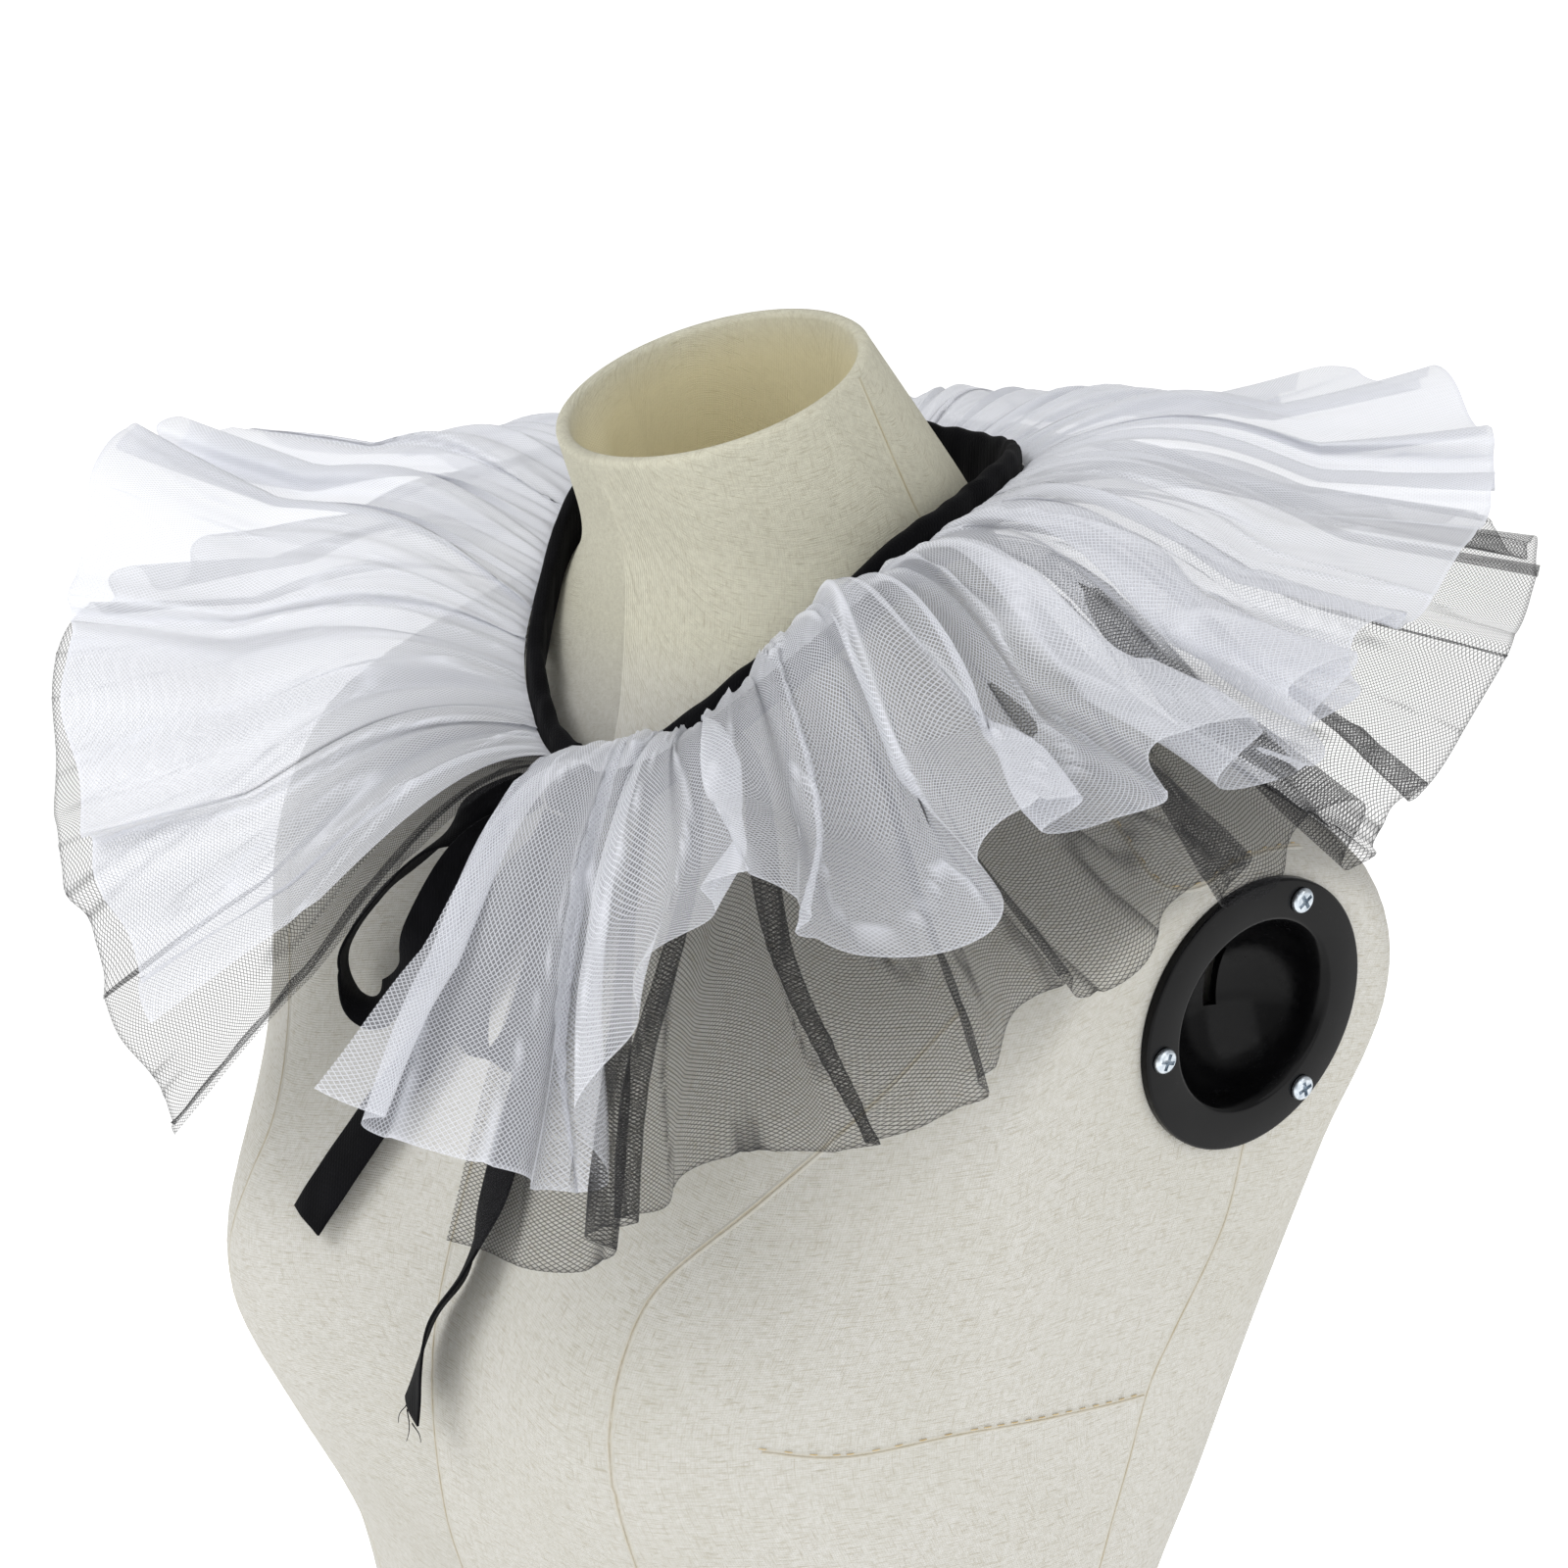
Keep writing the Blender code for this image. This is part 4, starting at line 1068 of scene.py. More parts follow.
def seam_ridge(builder, stations):
    """Lay the two rolled edges of a sewn seam over the cover, with the stitched groove between, and mark that
    groove for painted shade.
    """
    groove = builder.verts.layers.float.get("groove") or builder.verts.layers.float.new("groove")
    rows = []
    for index, (place, normal) in enumerate(stations):
        before = stations[max(index - 1, 0)][0]
        after = stations[min(index + 1, len(stations) - 1)][0]
        side = (after - before).cross(normal).normalized()
        pucker = 1 + SEAM_PUCKER * noise.noise(place * 260)
        row = []
        for across, raised in SEAM_PROFILE:
            vertex = builder.verts.new(place + side * across + normal * (raised * pucker))
            # The groove mark is painted shade in the seam's groove, along with the tan of the thread sunk
            # there. Its strength varies a little along the seam.
            uneven_groove_shade = 0.75 + 0.5 * noise.noise(place * 400)
            vertex[groove] = max(1 - abs(across) / GROOVE_REACH, 0.0) * uneven_groove_shade
            row.append(vertex)
        rows.append(row)
    skin_rows(builder, rows, closed=False)


def stitch_mesh():
    """One stitch: a short thread that dips into the cloth at both ends."""
    builder = bmesh.new()
    rings = []
    for step in range(STITCH_STEPS + 1):
        turn = math.pi * step / STITCH_STEPS
        along = -STITCH_LENGTH * 0.5 * math.cos(turn)
        rise = STITCH_RADIUS * (0.9 * math.sin(turn) - 0.2)
        radius = STITCH_RADIUS * (0.45 + 0.55 * math.sin(turn))
        rings.append([
            builder.verts.new((along, radius * math.cos(t), rise + radius * math.sin(t)))
            for t in (2 * math.pi * side / STITCH_SIDES for side in range(STITCH_SIDES))
        ])
    skin_rows(builder, rings)
    return builder


def make_form_seams():
    """Sew the cover: rolled seams joined to it, and fawn stitches where they show."""
    cover = bpy.data.objects["form_cover"]
    source = bmesh.new()
    source.from_mesh(cover.data)
    surface = BVHTree.FromBMesh(source)
    lines = [(name, marks, mirrored) for name, marks in SIDE_SEAMS.items() for mirrored in (False, True)]
    lines += [(name, marks, False) for name, marks in MIDDLE_SEAMS.items()]
    stitched = bmesh.new()
    for name, marks, mirrored in lines:
        stations = seam_stations(marks, mirrored, surface)
        seam_ridge(source, stations)
        if name in TOPSTITCHED:
            add_stitches(stitched, stations)
    source.to_mesh(cover.data)
    source.free()
    piece_from("form_stitches", stitched, stitch_finish())


def add_stitches(stitched, stations):
    """Copy the stitch along a seam at its pitch, just beside the groove."""
    pattern = stitch_mesh()
    since_last = STITCH_PITCH
    for (place, normal), (following, _) in zip(stations, stations[1:]):
        since_last += (following - place).length
        if since_last < STITCH_PITCH:
            continue
        since_last = 0.0
        along = (following - place).normalized()
        side = normal.cross(along).normalized()
        upright = along.cross(side).normalized()
        laid = Matrix((along, side, upright)).transposed().to_4x4()
        laid.translation = place + side * STITCH_ASIDE + upright * STITCH_RISE
        copied = {vertex: stitched.verts.new(laid @ vertex.co) for vertex in pattern.verts}
        for face in pattern.faces:
            stitched.faces.new([copied[vertex] for vertex in face.verts])
    pattern.free()


def cup_profile(radius, depth, front):
    """Radius and level of each step down a cup, from under its lip to its bottom."""
    steps = []
    for step in range(1, CUP_STEPS + 1):
        angle = math.radians(90) * step / CUP_STEPS
        steps.append((max(radius * math.cos(angle), CUP_FLOOR_RADIUS), front - depth * math.sin(angle)))
    return steps


def sink_face(start_radius, start_level, steps):
    """Extrude the selected round face along a list of radii and levels."""
    radius, level = start_radius, start_level
    for next_radius, next_level in steps:
        bpy.ops.mesh.extrude_region_move(TRANSFORM_OT_translate={"value": (0, 0, next_level - level)})
        factor = next_radius / radius
        bpy.ops.transform.resize(value=(factor, factor, 1.0), center_override=(0, 0, 0))
        radius, level = next_radius, next_level


def make_socket_shell(side, sign, finish):
    """Model one arm socket about the Z axis, then set it on its plate."""
    face_level = SEAM_GAP + FLANGE_THICKNESS
    shell = cylinder_in_edit(f"socket_shell_{side}", ROUND_SIDES, FLANGE_RADIUS, FLANGE_THICKNESS, SEAM_GAP)
    bpy.ops.mesh.select_mode(type="FACE")
    lip = CUP_RADIUS + CUP_LIP
    faces_chosen(shell, lambda centre, normal: normal.z > 0.9)
    bpy.ops.mesh.inset(thickness=FLANGE_RADIUS - lip, use_even_offset=True)
    sink_face(lip, face_level, cup_profile(CUP_RADIUS, CUP_DEPTH, face_level))
    back = CUP_RADIUS + CUP_WALL
    faces_chosen(shell, lambda centre, normal: normal.z < -0.9 and abs(centre.z - SEAM_GAP) < 1e-5)
    bpy.ops.mesh.inset(thickness=FLANGE_RADIUS - back, use_even_offset=True)
    sink_face(back, SEAM_GAP, cup_profile(back, CUP_DEPTH + CUP_WALL - FLANGE_THICKNESS, SEAM_GAP))

    def on_face(middle, radius):
        return abs(middle.z - face_level) < 1e-5 and abs(middle.xy.length - radius) < 4e-4

    edges_chosen(shell, lambda middle, edge: on_face(middle, FLANGE_RADIUS) or on_face(middle, lip))
    bpy.ops.mesh.bevel(offset=FLANGE_EDGE, segments=4, affect="EDGES")
    bpy.ops.object.mode_set(mode="OBJECT")
    cut_away(shell, sized_box(
        Matrix.Translation((-SLOT_RAISE, SLOT_OFFSET, -CUP_DEPTH)),
        Matrix.Diagonal((SLOT_LENGTH, SLOT_WIDTH, CUP_DEPTH, 1)),
    ))
    put_in_place(shell, plate_frame(sign) @ TURNED_OUT)
    smoothed_to(shell, 35)
    return settled(shell, finish, [f"arm_socket_{side}"])


def make_screw(side, sign, number, angle, finish):
    """Model one pan-head screw about the Z axis, with its cross, then set it in the flange."""
    base = FLANGE_THICKNESS + 2 * SEAM_GAP
    screw = cylinder_in_edit(f"flange_screw_{side}_{number}", SCREW_SIDES, SCREW_RADIUS, SCREW_HEIGHT, base)
    near_top = base + SCREW_HEIGHT * 0.99
    edges_chosen(screw, lambda middle, edge: middle.z > near_top and middle.xy.length > 0.001)
    bpy.ops.mesh.bevel(offset=SCREW_EDGE, segments=6, affect="EDGES")
    bpy.ops.object.mode_set(mode="OBJECT")
    for quarter in (0, 1):
        cut_away(screw, sized_box(
            Matrix.Translation((0, 0, base + SCREW_HEIGHT)),
            Matrix.Rotation(math.radians(90 * quarter + SCREW_TURN * number), 4, "Z"),
            Matrix.Diagonal((CROSS_LENGTH, CROSS_WIDTH, 2 * CROSS_DEPTH, 1)),
        ))
    ring = Vector((0, SCREW_CIRCLE * math.cos(angle), SCREW_CIRCLE * math.sin(angle)))
    put_in_place(screw, plate_frame(sign) @ Matrix.Translation(ring) @ TURNED_OUT)
    smoothed_to(screw, 40)
    return settled(screw, finish, [f"socket_screw_{side}_{number}"])


def make_arm_sockets():
    """Fit both arm sockets with their three screws each."""
    plastic = moulded_finish()
    steel = plated_finish()
    for side, sign in (("left", 1), ("right", -1)):
        make_socket_shell(side, sign, plastic)
        for number, degrees in enumerate(SCREW_ANGLES, start=1):
            make_screw(side, sign, number, math.radians(degrees), steel)


def make_band_cloth(settings):
    """Wrap the padded neckband, with the small slanting wrinkles of gathered cloth."""
    start = math.radians(BAND_OPEN)
    rings = []
    for step in range(BAND_STEPS + 1):
        angle = start + (2 * math.pi - 2 * start) * step / BAND_STEPS
        middle, outward = band_point(angle), band_outward(angle)
        ring = []
        for corner, point in enumerate(band_section(middle, outward, BAND_CORNERS)):
            turn = 2 * math.pi * (corner + 0.5) / BAND_CORNERS
            away = (point - middle).normalized()
            wander = WRINKLE_WANDER * noise.noise(Vector((angle * 4, turn, 0.5)))
            phase = angle * WRINKLE_CLOSENESS + WRINKLE_SLANT * math.sin(turn) + wander
            share = 0.55 + 0.45 * noise.noise(Vector((angle * 9, 3.0, turn * 0.4)))
            ring.append(point + away * (settings.wrinkle_height * share * (math.sin(phase) - 0.6)))
        rings.append(ring)
    band = piece_from("band_cloth", loft(rings), cotton_finish(settings), ["neck_band"])
    return band


def ripple_sum(ripples, angle):
    """Sum of a table of ripples at one angle round the neck."""
    return sum(row.strength * math.sin(row.per_turn * angle + row.phase) for row in ripples)


ColumnFacts = namedtuple(
    "ColumnFacts",
    "degrees root straight rise swing reach phase height pleats crease gather streak puff crumples veil",
)


def ruffle_column(layer, angle, pleats):
    """Everything about one radial line of a ruffle that doesn't change from band to hem."""
    degrees = math.degrees(angle)
    rise = smooth_value(DRAPE, "angle", layer.column, degrees)
    straight = band_outward(angle)
    root = band_point(angle) + straight * (BAND_THICKNESS * 0.5 + 2 * SEAM_GAP)
    root.z += layer.root_lift
    near = [pleat for pleat in pleats if abs(degrees - pleat.angle) < pleat.half + abs(pleat.lean)]
    waves = smooth_value(LIVELINESS, "angle", "waves", degrees)
    gather_phase = GATHERS * angle + 5.0 * noise.noise(Vector((angle * 13, 0.0, layer.depth * 40)))
    return ColumnFacts(
        degrees, root, straight, rise,
        math.radians(smooth_value(DRAPE, "angle", "swing", degrees)),
        math.sqrt(layer.depth ** 2 - rise ** 2),
        WAVES * angle + ripple_sum(PLACE_RIPPLES, angle),
        WAVE_HEIGHT * (MEAN_HEIGHT + ripple_sum(HEIGHT_RIPPLES, angle)) * waves,
        near,
        ripple_sum(CREASE_RIPPLES, angle),
        GATHER_HEIGHT * math.sin(gather_phase) * (0.7 + noise.noise(Vector((angle * 23, 5.0, layer.depth))))
        * (0.5 + 0.5 * waves),
        0.5 + 0.5 * math.sin(gather_phase),
        smooth_value(PUFFS, "angle", layer.column, degrees),
        smooth_value(LIVELINESS, "angle", "crumples", degrees),
        smooth_value(LIVELINESS, "angle", "veil", degrees) if layer.column == "white" else 0.0,
    )


def pleat_fold(column, along):
    """How a column's pleats shift and lift it at one depth, and how near it is to a fold line."""
    shift, offset, turned = 0.0, 0.0, 0.0
    for pleat in column.pleats:
        middle = pleat.angle + pleat.lean * (along - 0.5)
        x = (column.degrees - middle) / (pleat.half * (PLEAT_TAPER + (1 - PLEAT_TAPER) * along))
        if abs(x) < 1:
            centre = math.radians(pleat.angle)
            centre_phase = WAVES * centre + ripple_sum(PLACE_RIPPLES, centre)
            shift -= pleat.throw * math.sin(math.pi * x) * (1 - x * x) ** 2
            offset += math.copysign(PLEAT_GAP * PLEAT_LIFT, math.cos(centre_phase)) * x * (1 - x * x)
            turned = max(turned, math.exp(-((abs(x) - PLEAT_EDGE) / PLEAT_EDGE_WIDTH) ** 2))
    return shift, offset, turned


def net_point(layer, column, along):
    """One point of a ruffle's net on its radial line, from gathered edge to hem."""
    outward = Matrix.Rotation(column.swing * along, 3, "Z") @ column.straight
    spring = math.sin(math.pi * min(along / SPRING_PART, 1.0))
    puff = math.sin(math.pi * min((along / SPRING_PART) ** PUFF_CROWDING, 1.0)) * column.puff
    lift = SPRING * spring + puff + column.rise * along ** FALL_CURVE
    steepness = math.atan2(column.rise, column.reach)
    facing = Vector((0, 0, math.cos(steepness))) - outward * math.sin(steepness)
    sideways = outward.cross(facing).normalized()
    grown = ROOT_WAVE * min(along / ROOT_ROW, 1.0) + (1 - ROOT_WAVE) * along ** WAVE_GROWTH
    height = column.height * grown
    turn = math.radians(column.degrees)
    sway = SWAY * noise.noise(Vector((turn * 7, along * 1.5, layer.depth * 60))) * eased(along * 1.6)
    shift, offset, _ = pleat_fold(column, along)
    spread = (BAND_RADIUS + column.reach * along) / (BAND_RADIUS + column.reach)
    aside = layer.roll * height * math.sin(2 * column.phase) - shift * spread + sway
    crease = column.crease * math.sin(math.pi * min(along * 1.15, 1.0)) * (1 - 0.85 * along)
    place = Vector((turn * 17, along * 1.9, layer.depth * 90))
    crumple = CRUMPLE_HEIGHT * noise.noise(place) * math.sin(math.pi * min(along * 1.4, 1.0) * 0.5)
    crease += column.crumples * (crumple + CREASE_LINE_HEIGHT * crease_line(layer, turn, along))
    gather = column.gather * math.exp(-along / GATHER_FADE) * eased(along * 30)
    away = height * math.sin(column.phase) + offset * spread + gather + crease
    point = column.root + outward * (column.reach * along) + Vector((0, 0, lift))
    point += facing * away + sideways * aside
    return lifted_off(point, layer.clearance) if along > 0 else point


def crease_line(layer, turn, along):
    """1 on a fine wandering crease of the net and 0 away from one."""
    value = noise.noise(Vector((turn * 15, along * 1.4, layer.depth * 310)))
    return math.exp(-(value / CREASE_LINE_WIDTH) ** 2) * eased(along * 12)


def stray_pleats(layer):
    """Pleats for the sides that the fixed tables leave out, the same on every run."""
    chance = random.Random(f"pleats {layer.node}")
    pleats = []
    for index in range(STRAY_PLEATS):
        middle = STRAY_FROM + (STRAY_TO - STRAY_FROM) * (index + 0.5) / STRAY_PLEATS
        pleats.append(Pleat(
            middle + chance.uniform(-5, 5), chance.uniform(1.2, 2.6), chance.uniform(0.004, 0.007),
            chance.uniform(-6, 6),
        ))
    return pleats


def make_net(name, layer, finish, columns):
    """Gather one strip of net into the band and let it fall in flutes, folds and creases."""
    start, end = math.radians(layer.start), math.radians(layer.end)
    pleats = list(PLEATS[layer.column]) + stray_pleats(layer)
    angles = [start + (end - start) * step / columns for step in range(columns + 1)]
    lines = [ruffle_column(layer, angle, pleats) for angle in angles]
    levels = [(row / NET_ROWS) ** ROW_CROWDING for row in range(NET_ROWS + 1)]
    levels[-2] = 1 - HEM_WIDTH / layer.depth
    builder = bmesh.new()
    cloth = builder.loops.layers.uv.new("cloth")
    bunching = builder.verts.layers.float.new("bunching")
    rows = []
    for along in levels:
        row = []
        for line in lines:
            vertex = builder.verts.new(net_point(layer, line, along))
            vertex[bunching] = net_bunching(layer, line, along)
            row.append(vertex)
        rows.append(row)
    for level in range(NET_ROWS):
        for step in range(columns):
            corners = ((level, step), (level, step + 1), (level + 1, step + 1), (level + 1, step))
            face = builder.faces.new([rows[i][j] for i, j in corners])
            for loop, (i, j) in zip(face.loops, corners):
                loop[cloth].uv = (layer.cut_length * j / columns, layer.depth * levels[i])
    net = piece_from(name, builder, finish, [layer.node])
    return net


def net_bunching(layer, line, along):
    """How closed the net looks: gathered at the band, doubled on fold edges and along the cut hem."""
    at_band = CLOSED_AT_BAND * math.exp(-along / CLOSED_REACH) * (0.5 + 0.5 * line.streak)
    on_fold = CLOSED_ON_FOLD * pleat_fold(line, along)[2] * min(along * 4, 1.0)
    at_hem = CLOSED_AT_HEM if along > 0.995 else 0.0
    on_crease = CLOSED_ON_CREASE * line.crumples * crease_line(layer, math.radians(line.degrees), along)
    veiled = line.veil * (1 + VEIL_AT_BAND * math.exp(-along / VEIL_REACH))
    return min(max(at_band, veiled) + on_fold + at_hem + on_crease, CLOSED_MOST)


def make_nets(settings):
    """Make the white net over the black one."""
    white = net_finish("nylon_tulle_white", settings.white_colour, settings.white_pitch, WHITE_LOOK)
    black = net_finish("nylon_tulle_black", settings.black_colour, settings.black_pitch, BLACK_LOOK)
    make_net("net_white", WHITE_LAYER, white, settings.columns)
    make_net("net_black", BLACK_LAYER, black, settings.columns)


def smooth_route(passes, steps):
    """Points and width directions on one smooth curve through a tape's route."""
    Row = namedtuple("Row", "key x y z wx wy wz")
    rows = [Row(key, x, y, z, *across.normalized()) for key, (x, y, z, across) in enumerate(passes)]
    samples = []
    for index in range((len(passes) - 1) * steps + 1):
        values = [smooth_value(rows, "key", column, index / steps) for column in Row._fields[1:]]
        samples.append((Vector(values[:3]), Vector(values[3:])))
    return samples


def tape_rows(passes, closed_loop):
    """Rows of points across a tape: pinched at the knot, slightly cupped, with soft kinks."""
    samples = smooth_route(passes, TAPE_STEPS)
    last = len(samples) - 1
    rows = []
    for index, (point, across) in enumerate(samples):
        before = samples[max(index - 1, 0)][0]
        after = samples[min(index + 1, last)][0]
        tangent = (after - before).normalized()
        across = (across - tangent * across.dot(tangent)).normalized()
        normal = tangent.cross(across)
        from_knot = min(index, last - index) if closed_loop else index
        opened = eased(from_knot / (2 * TAPE_STEPS))
        half = TAPE_WIDTH * 0.5 * (TAPE_PINCH + (1 - TAPE_PINCH) * opened)
        row = []
        for step in range(TAPE_ACROSS + 1):
            x = 2 * step / TAPE_ACROSS - 1
            cupped = TAPE_CUPPING * (1 - x * x) + PINCH_FOLD * (1 - opened) * math.cos(math.pi * 3 * x)
            kink = TAPE_KINK * noise.noise(point * 70 + Vector((x, 0, 0)))
            row.append(point + across * (half * x) + normal * (cupped + kink))
        rows.append(row)
    return rows


def make_tape(name, node, finish):
    """Cut one stretch of tape and lay it along its route."""
    rows = tape_rows(TIE_ROUTES[node], node.startswith("bow"))
    tape = piece_from(name, loft(rows, False, False, False), finish, [node])
    apply_modifier(tape, "SOLIDIFY", thickness=TAPE_WALL, offset=0.0)
    apply_modifier(tape, "BEVEL", width=TAPE_WALL * 0.35, segments=2, limit_method="ANGLE")
    tape.data.set_sharp_from_angle(angle=math.radians(60))
    return rows


def make_frays(rows, finish):
    """Pull a few loose threads out of the cut end of the left tail."""
    builder = bmesh.new()
    end = rows[-1]
    across = (end[-1] - end[0]).normalized()
    middle = end[len(end) // 2]
    for aside, *run in FRAYS:
        start = middle + across * aside
        tip = start + Vector(run)
        side = (tip - start).cross(Vector((0, 1, 0))).normalized()
        rings = []
        for step in range(FRAY_STEPS + 1):
            t = step / FRAY_STEPS
            centre = start.lerp(tip, t) + side * (0.0009 * math.sin(4.2 * t + aside * 900))
            radius = FRAY_RADIUS * (1 - 0.5 * t)
            rings.append([
                centre + side * (radius * math.cos(turn)) + Vector((0, 1, 0)) * (radius * math.sin(turn))
                for turn in (2 * math.pi * corner / FRAY_SIDES for corner in range(FRAY_SIDES))
            ])
        thread = [[builder.verts.new(point) for point in ring] for ring in rings]
        skin_rows(builder, thread)
        builder.faces.new(thread[0])
        builder.faces.new(thread[-1])
    return piece_from("tail_frays", builder, finish)


def make_knot(finish):
    """Tie the knot: a soft rounded body with the tape's wraps showing round it."""
    rings = []
    for step in range(KNOT_ROWS + 1):
        polar = math.pi * step / KNOT_ROWS
        ring = []
        for side in range(KNOT_SIDES):
            turn = 2 * math.pi * side / KNOT_SIDES
            unit = Vector((
                round_power(math.cos(polar), KNOT_BOXINESS),
                round_power(math.sin(polar), KNOT_BOXINESS) * round_power(math.cos(turn), KNOT_BOXINESS),
                round_power(math.sin(polar), KNOT_BOXINESS) * round_power(math.sin(turn), KNOT_BOXINESS),
            ))
            wrap = math.sin(math.pi * KNOT_WRAPS * unit.x + 1.4 * unit.z)
            relief = 1 - 2 * KNOT_WRAP_RELIEF * (1 - wrap) / min(KNOT_SIZE)
            ring.append(KNOT_CENTRE + unit * KNOT_SIZE * (0.5 * relief))
        rings.append(ring)
    knot = piece_from("knot_cloth", loft(rings[1:-1]), finish, ["tie_knot"])
    return knot


def make_ties():
    """Tie the bow: the knot, its two loops and its two hanging tails."""
    finish = bpy.data.objects["band_cloth"].data.materials[0]
    make_knot(finish)
    make_tape("loop_tape_right", "bow_loop_right", finish)
    make_tape("loop_tape_left", "bow_loop_left", finish)
    make_tape("tail_tape_right", "tie_tail_right", finish)
    make_frays(make_tape("tail_tape_left", "tie_tail_left", finish), finish)


def add_area_light(name, place, size, power):
    """Hang one soft square light and point it at the collar."""
    bpy.ops.object.light_add(type="AREA", location=place)
    light = bpy.context.object
    light.name = name
    light.rotation_euler = (LIGHT_AIM - place).to_track_quat("-Z", "Y").to_euler()
    light.data.size = size
    light.data.energy = power
    return light


def make_stage(settings):
    """Lay the floor, light the studio and set up the camera."""
    bpy.ops.mesh.primitive_plane_add(size=FLOOR_SIZE, location=(0, 0, FLOOR_LEVEL))
    floor = bpy.context.object
    floor.name = "studio_floor"
    floor.data.materials.append(floor_finish(settings))
    key = add_area_light("key_light", KEY_PLACE, KEY_SIZE, settings.key_power)
    fill = add_area_light("fill_light", FILL_PLACE, FILL_SIZE, settings.fill_power)
    world = bpy.context.scene.world or bpy.data.worlds.new("studio")
    bpy.context.scene.world = world
    world.use_nodes = True
    background = world.node_tree.nodes["Background"]
    background.inputs["Color"].default_value = (1.0, 1.0, 1.0, 1.0)
    background.inputs["Strength"].default_value = settings.room_light
    bpy.ops.object.camera_add(location=CAMERA_PLACE)
    camera = bpy.context.object
    camera.name = "studio_camera"
    aim = (CAMERA_AIM - CAMERA_PLACE).to_track_quat("-Z", "Y")
    camera.rotation_euler = (aim.to_matrix() @ Matrix.Rotation(CAMERA_LEAN, 3, "Z")).to_euler()
    camera.data.lens = CAMERA_LENS_MM
    camera.data.sensor_width = CAMERA_SENSOR_MM
    camera.data.sensor_fit = "HORIZONTAL"
    camera.data.clip_start = 0.02
    bpy.context.scene.camera = camera
    bpy.context.scene.view_settings.view_transform = "Standard"
    bpy.context.scene.cycles.transparent_max_bounces = NET_LAYERS_PASSED


def hex_property(name, description, default):
    """A colour that a user would change, as sRGB hex digits."""
    return StringProperty(name=name, description=description, default=default)


def length_property(name, description, default):
    """A small length that a user would change."""
    return FloatProperty(
        name=name, description=description, default=default, unit="LENGTH", subtype="DISTANCE", precision=4,
    )


def power_property(name, description, default):
    """The power of a light."""
    return FloatProperty(name=name, description=description, default=default, unit="POWER", subtype="POWER")


class RuffFormSettings(bpy.types.PropertyGroup):
    """Colours of the dress form."""

    linen_colour: hex_property("Linen", "Hex colour of the lit linen", "CDCCC8")
    linen_shadow: hex_property("Linen patches", "Hex colour of its darker patches", "C5C4BE")


class RuffBandSettings(bpy.types.PropertyGroup):
    """Cloth of the neckband and ties."""

    cotton_colour: hex_property("Cotton", "Hex colour of the dyed cotton", "060608")
    wrinkle_height: length_property("Wrinkle height", "Height of the wrinkles on the neckband", 0.0006)


class RuffNetSettings(bpy.types.PropertyGroup):
    """The two nets."""

    white_colour: hex_property("White net", "Hex colour of the white net", "E0E2E9")
    black_colour: hex_property("Black net", "Hex colour of the black net", "17171A")
    # Each lozenge of the real nets is a little over a millimetre across, and so are these.
    white_pitch: length_property("White mesh", "Distance between threads of the white net", 0.0009)
    black_pitch: length_property("Black mesh", "Distance between threads of the black net", 0.0010)
    columns: IntProperty(name="Columns", description="Steps along each strip", default=NET_COLUMNS, min=200)


class RuffStageSettings(bpy.types.PropertyGroup):
    """Light and floor of the studio."""

    floor_colour: hex_property("Floor", "Hex colour of the floor", "FFFFFF")
    floor_glow: FloatProperty(name="Floor glow", description="Light given off by the floor", default=0.55)
    room_light: FloatProperty(name="Room light", description="Strength of the even room light", default=0.60)
    key_power: power_property("Key light", "Power of the main light", 17.0)
    fill_power: power_property("Fill light", "Power of the light that softens shadows", 13.0)


class RUFF_OT_form_cover(bpy.types.Operator):
    """Make the linen-covered torso with its open neck"""

    bl_idname = "ruff.form_cover"
    bl_label = "Dress form"

    def execute(self, context):
        made_of(make_form_cover, context.scene.ruff_form)
        return {"FINISHED"}


class RUFF_OT_form_seams(bpy.types.Operator):
    """Sew the seams and stitches of the linen cover"""

    bl_idname = "ruff.form_seams"
    bl_label = "Cover seams"

    def execute(self, context):
        made_of(make_form_seams)
        return {"FINISHED"}


class RUFF_OT_arm_sockets(bpy.types.Operator):
    """Fit the moulded arm sockets and their screws"""

    bl_idname = "ruff.arm_sockets"
    bl_label = "Arm sockets"

    def execute(self, context):
        made_of(make_arm_sockets)
        return {"FINISHED"}


class RUFF_OT_neckband(bpy.types.Operator):
    """Wrap the padded neckband"""

    bl_idname = "ruff.neckband"
    bl_label = "Neckband"

    def execute(self, context):
        made_of(make_band_cloth, context.scene.ruff_band)
        return {"FINISHED"}


class RUFF_OT_nets(bpy.types.Operator):
    """Gather the white and the black net into the band"""

    bl_idname = "ruff.nets"
    bl_label = "Nets"

    def execute(self, context):
        made_of(make_nets, context.scene.ruff_net)
        return {"FINISHED"}


class RUFF_OT_ties(bpy.types.Operator):
    """Tie the tape into a bow with two tails"""

    bl_idname = "ruff.ties"
    bl_label = "Tape bow"

    def execute(self, context):
        made_of(make_ties)
        return {"FINISHED"}


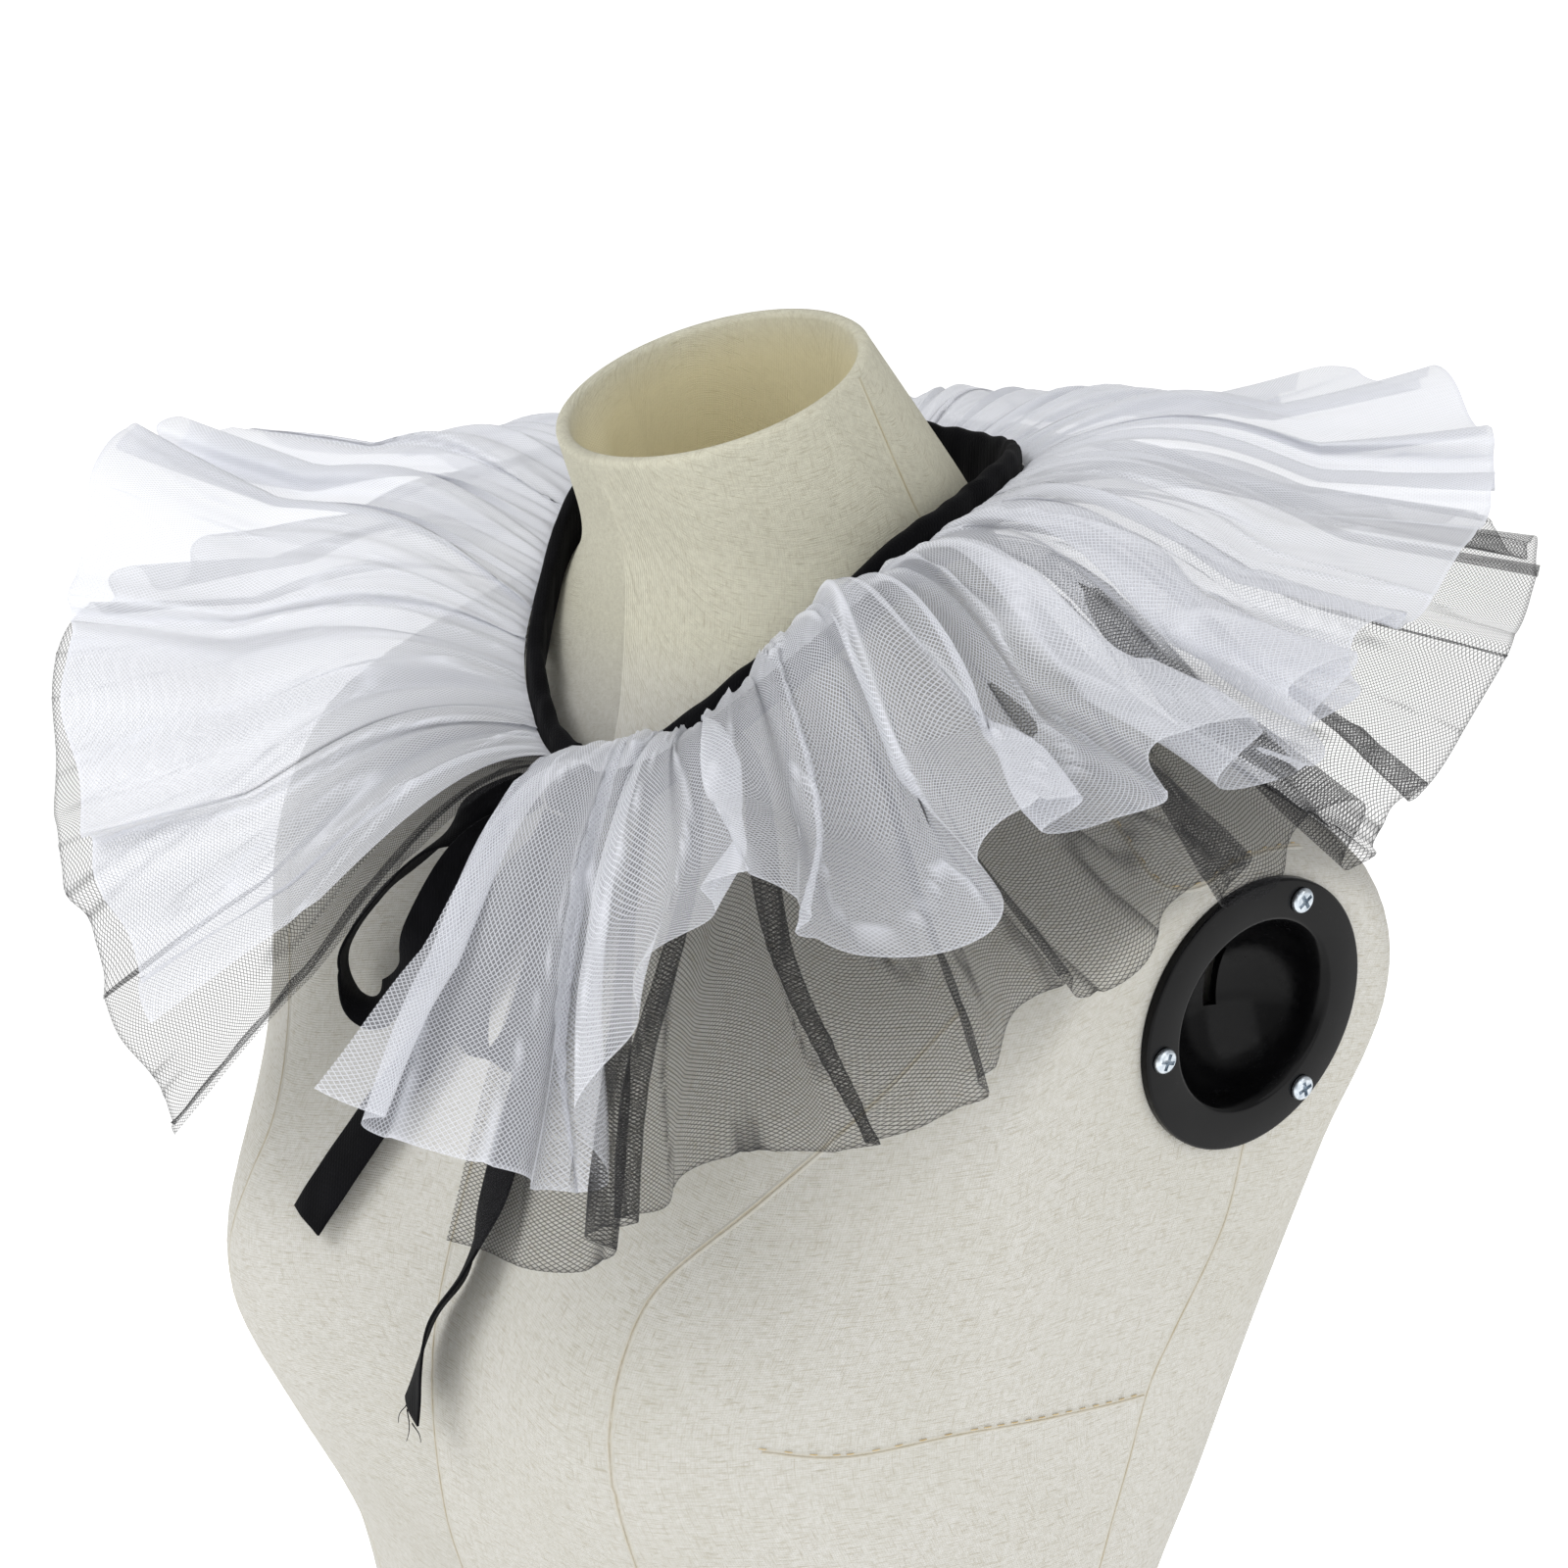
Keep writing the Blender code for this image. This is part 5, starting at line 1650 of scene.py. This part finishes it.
class RUFF_OT_stage(bpy.types.Operator):
    """Lay the floor, hang the lights and place the camera"""

    bl_idname = "ruff.stage"
    bl_label = "Studio"

    def execute(self, context):
        made_of(make_stage, context.scene.ruff_stage)
        return {"FINISHED"}


class RUFF_PT_panel(bpy.types.Panel):
    """Lists the steps that build the collar"""

    bl_label = "Tulle ruff collar"
    bl_idname = "RUFF_PT_panel"
    bl_space_type = "VIEW_3D"
    bl_region_type = "UI"
    bl_category = "Ruff"

    def draw(self, context):
        for group in ("ruff_form", "ruff_band", "ruff_net", "ruff_stage"):
            settings = getattr(context.scene, group)
            box = self.layout.box()
            for name in settings.bl_rna.properties.keys():
                if name not in ("rna_type", "name"):
                    box.prop(settings, name)
        for operator in OPERATORS:
            self.layout.operator(operator.bl_idname)


SETTINGS = (
    (RuffFormSettings, "ruff_form"),
    (RuffBandSettings, "ruff_band"),
    (RuffNetSettings, "ruff_net"),
    (RuffStageSettings, "ruff_stage"),
)
OPERATORS = (
    RUFF_OT_form_cover,
    RUFF_OT_form_seams,
    RUFF_OT_arm_sockets,
    RUFF_OT_neckband,
    RUFF_OT_nets,
    RUFF_OT_ties,
    RUFF_OT_stage,
)


def made_of(maker, *settings):
    """Deselect everything, run one maker, and check that it left Blender in object mode."""
    bpy.ops.object.select_all(action="DESELECT")
    maker(*settings)
    if bpy.context.mode != "OBJECT":
        raise RuntimeError(f"{maker.__name__} did not finish in object mode")


def register():
    for group, name in SETTINGS:
        bpy.utils.register_class(group)
        setattr(bpy.types.Scene, name, PointerProperty(type=group))
    for kind in (*OPERATORS, RUFF_PT_panel):
        bpy.utils.register_class(kind)


def unregister():
    for kind in reversed((*OPERATORS, RUFF_PT_panel)):
        bpy.utils.unregister_class(kind)
    for group, name in reversed(SETTINGS):
        delattr(bpy.types.Scene, name)
        bpy.utils.unregister_class(group)


def main():
    register()
    bpy.ops.ruff.form_cover()
    bpy.ops.ruff.form_seams()
    bpy.ops.ruff.arm_sockets()
    bpy.ops.ruff.neckband()
    bpy.ops.ruff.nets()
    bpy.ops.ruff.ties()
    bpy.ops.ruff.stage()


if __name__ == "__main__":
    main()
